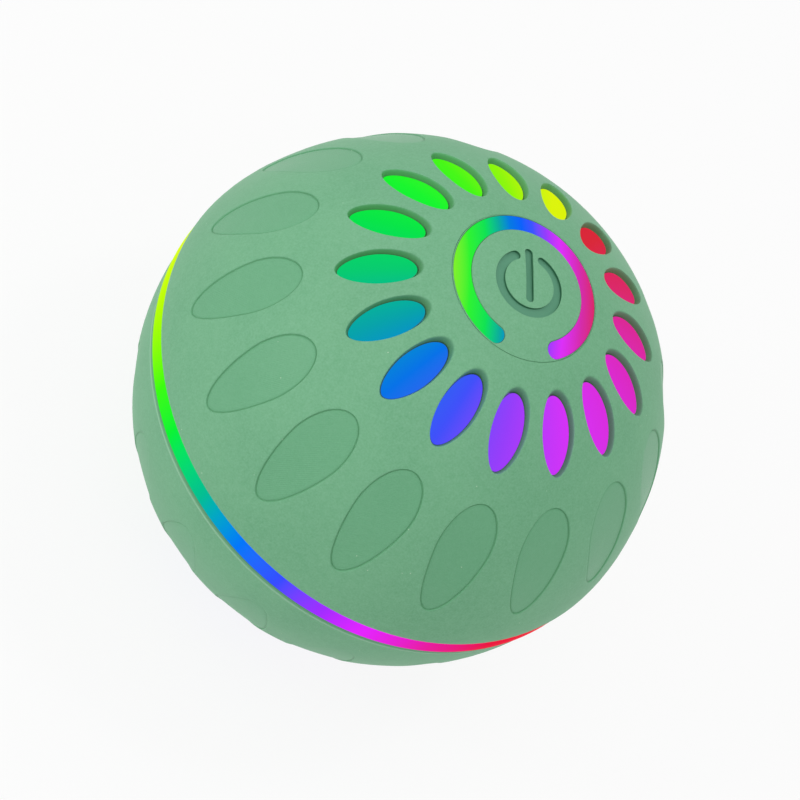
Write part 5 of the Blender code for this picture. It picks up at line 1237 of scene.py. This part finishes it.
tether_shape = bmesh.new()
barb_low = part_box("port_plug")[1].z - BARB[1]
tether_profile = [
    (0.0, barb_low + BARB[1]),
    (TETHER[1], barb_low + BARB[1]),
    (BARB[0], barb_low + BARB_STEP),
    (BARB[0], barb_low),
    (TETHER[1], barb_low),
    (TETHER[1], PLUG_ROOT),
    (0.0, PLUG_ROOT),
]
spun(tether_shape, tether_profile, TETHER_STEPS)
bmesh.ops.translate(tether_shape, vec=(TETHER[0], 0.0, 0.0), verts=tether_shape.verts)
plug_tether = finished("port_plug_tether", tether_shape, button_rubber)
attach(plug_tether, "plug")

# %% [markdown]
# ## Finishes for the solids of the frame
# The pieces inside keep the frame's shapes, which are right as they are, and get finishes of their own: nylon gears
# with a satin drift, solder-mask green boards, brushed steel, cast zinc, brass and the battery's shrunk sleeve.

# %% Inner finishes


def moulded(name, light, deep, roughness, grain_scale=1800.0):
    """A satin moulded plastic: two close tones, a fine grain and a drift in its gloss."""
    material, tree, shader, place = started(name, roughness)
    drift = placed(tree, drift_group, place, Scale=120.0)
    tree.links.new(mixed(tree, drift, tone(*light), tone(*deep)), shader.inputs["Base Color"])
    tree.links.new(ranged(tree, drift, roughness - 0.05, roughness + 0.07), shader.inputs["Roughness"])
    bumped(tree, shader, placed(tree, grain_group, place, Scale=grain_scale), 0.2, 0.015 * MM)
    return material


def metal(name, light, deep, roughness):
    """A turned or stamped metal with fine streaks and a little wear in its tone."""
    material, tree, shader, place = started(name, roughness, Metallic=1.0)
    drift = placed(tree, drift_group, place, Scale=200.0, Contrast=2.0)
    tree.links.new(mixed(tree, drift, tone(*light), tone(*deep)), shader.inputs["Base Color"])
    streaks = placed(tree, streak_group, place, Scale=2500.0)
    tree.links.new(ranged(tree, streaks, roughness - 0.08, roughness + 0.1), shader.inputs["Roughness"])
    bumped(tree, shader, streaks, 0.15, 0.01 * MM)
    return material


def circuit_board(name):
    """Green solder mask over copper: lighter lines where tracks run under it, and a clear gloss."""
    material, tree, shader, place = started(name, 0.32)
    tracks = node(tree, "ShaderNodeTexBrick", in_Vector=place, in_Scale=260.0)
    tracks.inputs["Mortar Size"].default_value = 0.03
    tracks.inputs["Mortar Smooth"].default_value = 0.2
    drift = placed(tree, drift_group, place, Scale=150.0)
    mask_green = mixed(tree, drift, tone(20, 96, 62), tone(15, 84, 54))
    tree.links.new(mixed(tree, tracks.outputs["Fac"], mask_green, tone(44, 128, 84)), shader.inputs["Base Color"])
    tree.links.new(ranged(tree, drift, 0.26, 0.38), shader.inputs["Roughness"])
    bumped(tree, shader, tracks.outputs["Fac"], 0.3, 0.02 * MM)
    return material


finishes = {
    "seal": moulded("seal_silicone", (176, 180, 178), (160, 165, 163), 0.55),
    "nylon": moulded("gear_nylon", (236, 233, 222), (224, 220, 207), 0.4),
    "chassis": moulded("chassis_plastic", (52, 55, 58), (42, 45, 48), 0.46),
    "chip": moulded("chip_epoxy", (30, 31, 33), (22, 23, 25), 0.52, 3000.0),
    "led": moulded("lamp_body", (240, 236, 214), (230, 224, 196), 0.3),
    "battery": moulded("battery_sleeve", (58, 110, 176), (50, 98, 160), 0.28),
    "lead_red": moulded("lead_sleeve_red", (178, 34, 32), (160, 28, 27), 0.4),
    "lead_black": moulded("lead_sleeve_black", (34, 34, 36), (26, 26, 28), 0.4),
    "lead_white": moulded("lead_sleeve_white", (228, 228, 224), (214, 214, 208), 0.4),
    "board": circuit_board("board_green"),
    "steel": metal("screw_steel", (196, 198, 200), (168, 170, 174), 0.3),
    "brass": metal("turned_brass", (206, 172, 98), (184, 148, 80), 0.3),
    "zinc": metal("cast_zinc", (158, 161, 164), (136, 139, 143), 0.45),
    "translucent": shell_glow,
    "skin": rubber,
    "button": button_rubber,
}
print("finishes", sorted(finishes))

# %% [markdown]
# ## Dressing the nodes
# Each node of the frame comes with a plain material that is named after its slot in the record, so one loop gives
# every node its finish. The shells take the sweep of light that shows through the windows.

# %% Dress the nodes
for solid in nodes.values():
    slot_name = solid.data.materials[0].name
    solid.data.materials.clear()
    solid.data.materials.append(finishes[slot_name])
print("dressed", len(nodes), "nodes")

# %% [markdown]
# ## Floor and light
# The photograph is a soft studio picture on white. The floor and the world look white to the camera and to
# reflections, while the light on the ball comes from soft lamps and an even fill. The floor mixes in a little less
# than plain white, so that it keeps the ball's soft shadow.

# %% Floor
FLOOR_HALF = 1.5
FLOOR_GAP = 0.05 * MM
FLOOR_SHARE = 0.88
FLOOR_PALE = (0.9, 0.9, 0.9, 1.0)
WHITE = (1.0, 1.0, 1.0, 1.0)
floor_shape = bmesh.new()
bmesh.ops.create_grid(floor_shape, x_segments=2, y_segments=2, size=FLOOR_HALF)
bmesh.ops.translate(floor_shape, vec=(0.0, 0.0, frame_box[0].z - FLOOR_GAP), verts=floor_shape.verts)
floor_mesh = bpy.data.meshes.new("floor")
floor_shape.to_mesh(floor_mesh)
floor_shape.free()
floor = bpy.data.objects.new("floor", floor_mesh)
bpy.context.scene.collection.objects.link(floor)


def white_to_camera(tree, surface, output, share):
    """Mixes plain white into a surface for what the camera and reflections see of it."""
    white = node(tree, "ShaderNodeEmission", in_Color=WHITE, in_Strength=1.0)
    path = node(tree, "ShaderNodeLightPath")
    seen = math_node(tree, "MAXIMUM", path.outputs["Is Camera Ray"], path.outputs["Is Glossy Ray"])
    seen = math_node(tree, "MAXIMUM", seen, path.outputs["Is Transmission Ray"])
    factor = math_node(tree, "MULTIPLY", seen, share)
    mix = node(tree, "ShaderNodeMixShader", in_0=factor, in_1=surface, in_2=white.outputs[0])
    tree.links.new(mix.outputs[0], output.inputs["Surface"])


floor_material = bpy.data.materials.new("floor_paper")
floor_material.use_nodes = True
tree = floor_material.node_tree
paper = tree.nodes["Principled BSDF"]
paper.inputs["Base Color"].default_value = FLOOR_PALE
paper.inputs["Roughness"].default_value = 0.9
white_to_camera(tree, paper.outputs[0], tree.nodes["Material Output"], FLOOR_SHARE)
floor_mesh.materials.append(floor_material)
print("floor at", round(floor_mesh.vertices[0].co.z / MM, 2))

# %% [markdown]
# ## Lamps and world
# The skins are nearly as bright on their shaded side as in the light, so most of the light is fill. A large key lamp
# up to the left, one near the camera and one above shape the ball, and two small ones stand where the highlights at
# its left and right come from. Each lamp is given by its direction as the viewer sees it (to the right, up, towards
# the viewer), its distance, its size and its power.

# %% Lamps
WORLD_STRENGTH = 0.62
LAMPS = {
    "key_lamp": ((-0.62, 0.45, 0.65), 0.5, 0.4, 0.26),
    "front_lamp": ((0.05, 0.25, 1.0), 0.6, 0.3, 0.38),
    "left_glint": ((-0.657, 0.328, 0.682), 0.5, 0.05, 0.24),
    "right_glint": ((0.68, 0.41, 0.61), 0.5, 0.07, 0.24),
    "top_lamp": ((0.4, 0.85, 0.3), 0.5, 0.4, 0.16),
}
world = bpy.data.worlds.new("studio")
world.use_nodes = True
bpy.context.scene.world = world
tree = world.node_tree
tree.nodes.clear()
fill = node(tree, "ShaderNodeBackground", in_Color=WHITE, in_Strength=WORLD_STRENGTH)
white_to_camera(tree, fill.outputs[0], node(tree, "ShaderNodeOutputWorld"), 1.0)

for name, ((right, up, near), distance, size, power) in LAMPS.items():
    lamp_data = bpy.data.lights.new(name, "AREA")
    lamp_data.size = size
    lamp_data.energy = power
    direction = (view_right * right + view_up * up + toward * near).normalized()
    lamp = bpy.data.objects.new(name, lamp_data)
    lamp.location = direction * distance
    lamp.rotation_euler = direction.to_track_quat("Z", "Y").to_euler()
    bpy.context.scene.collection.objects.link(lamp)
    print(name, [round(value, 3) for value in lamp.location])

# %% Finish
bpy.context.scene.view_settings.view_transform = "Standard"
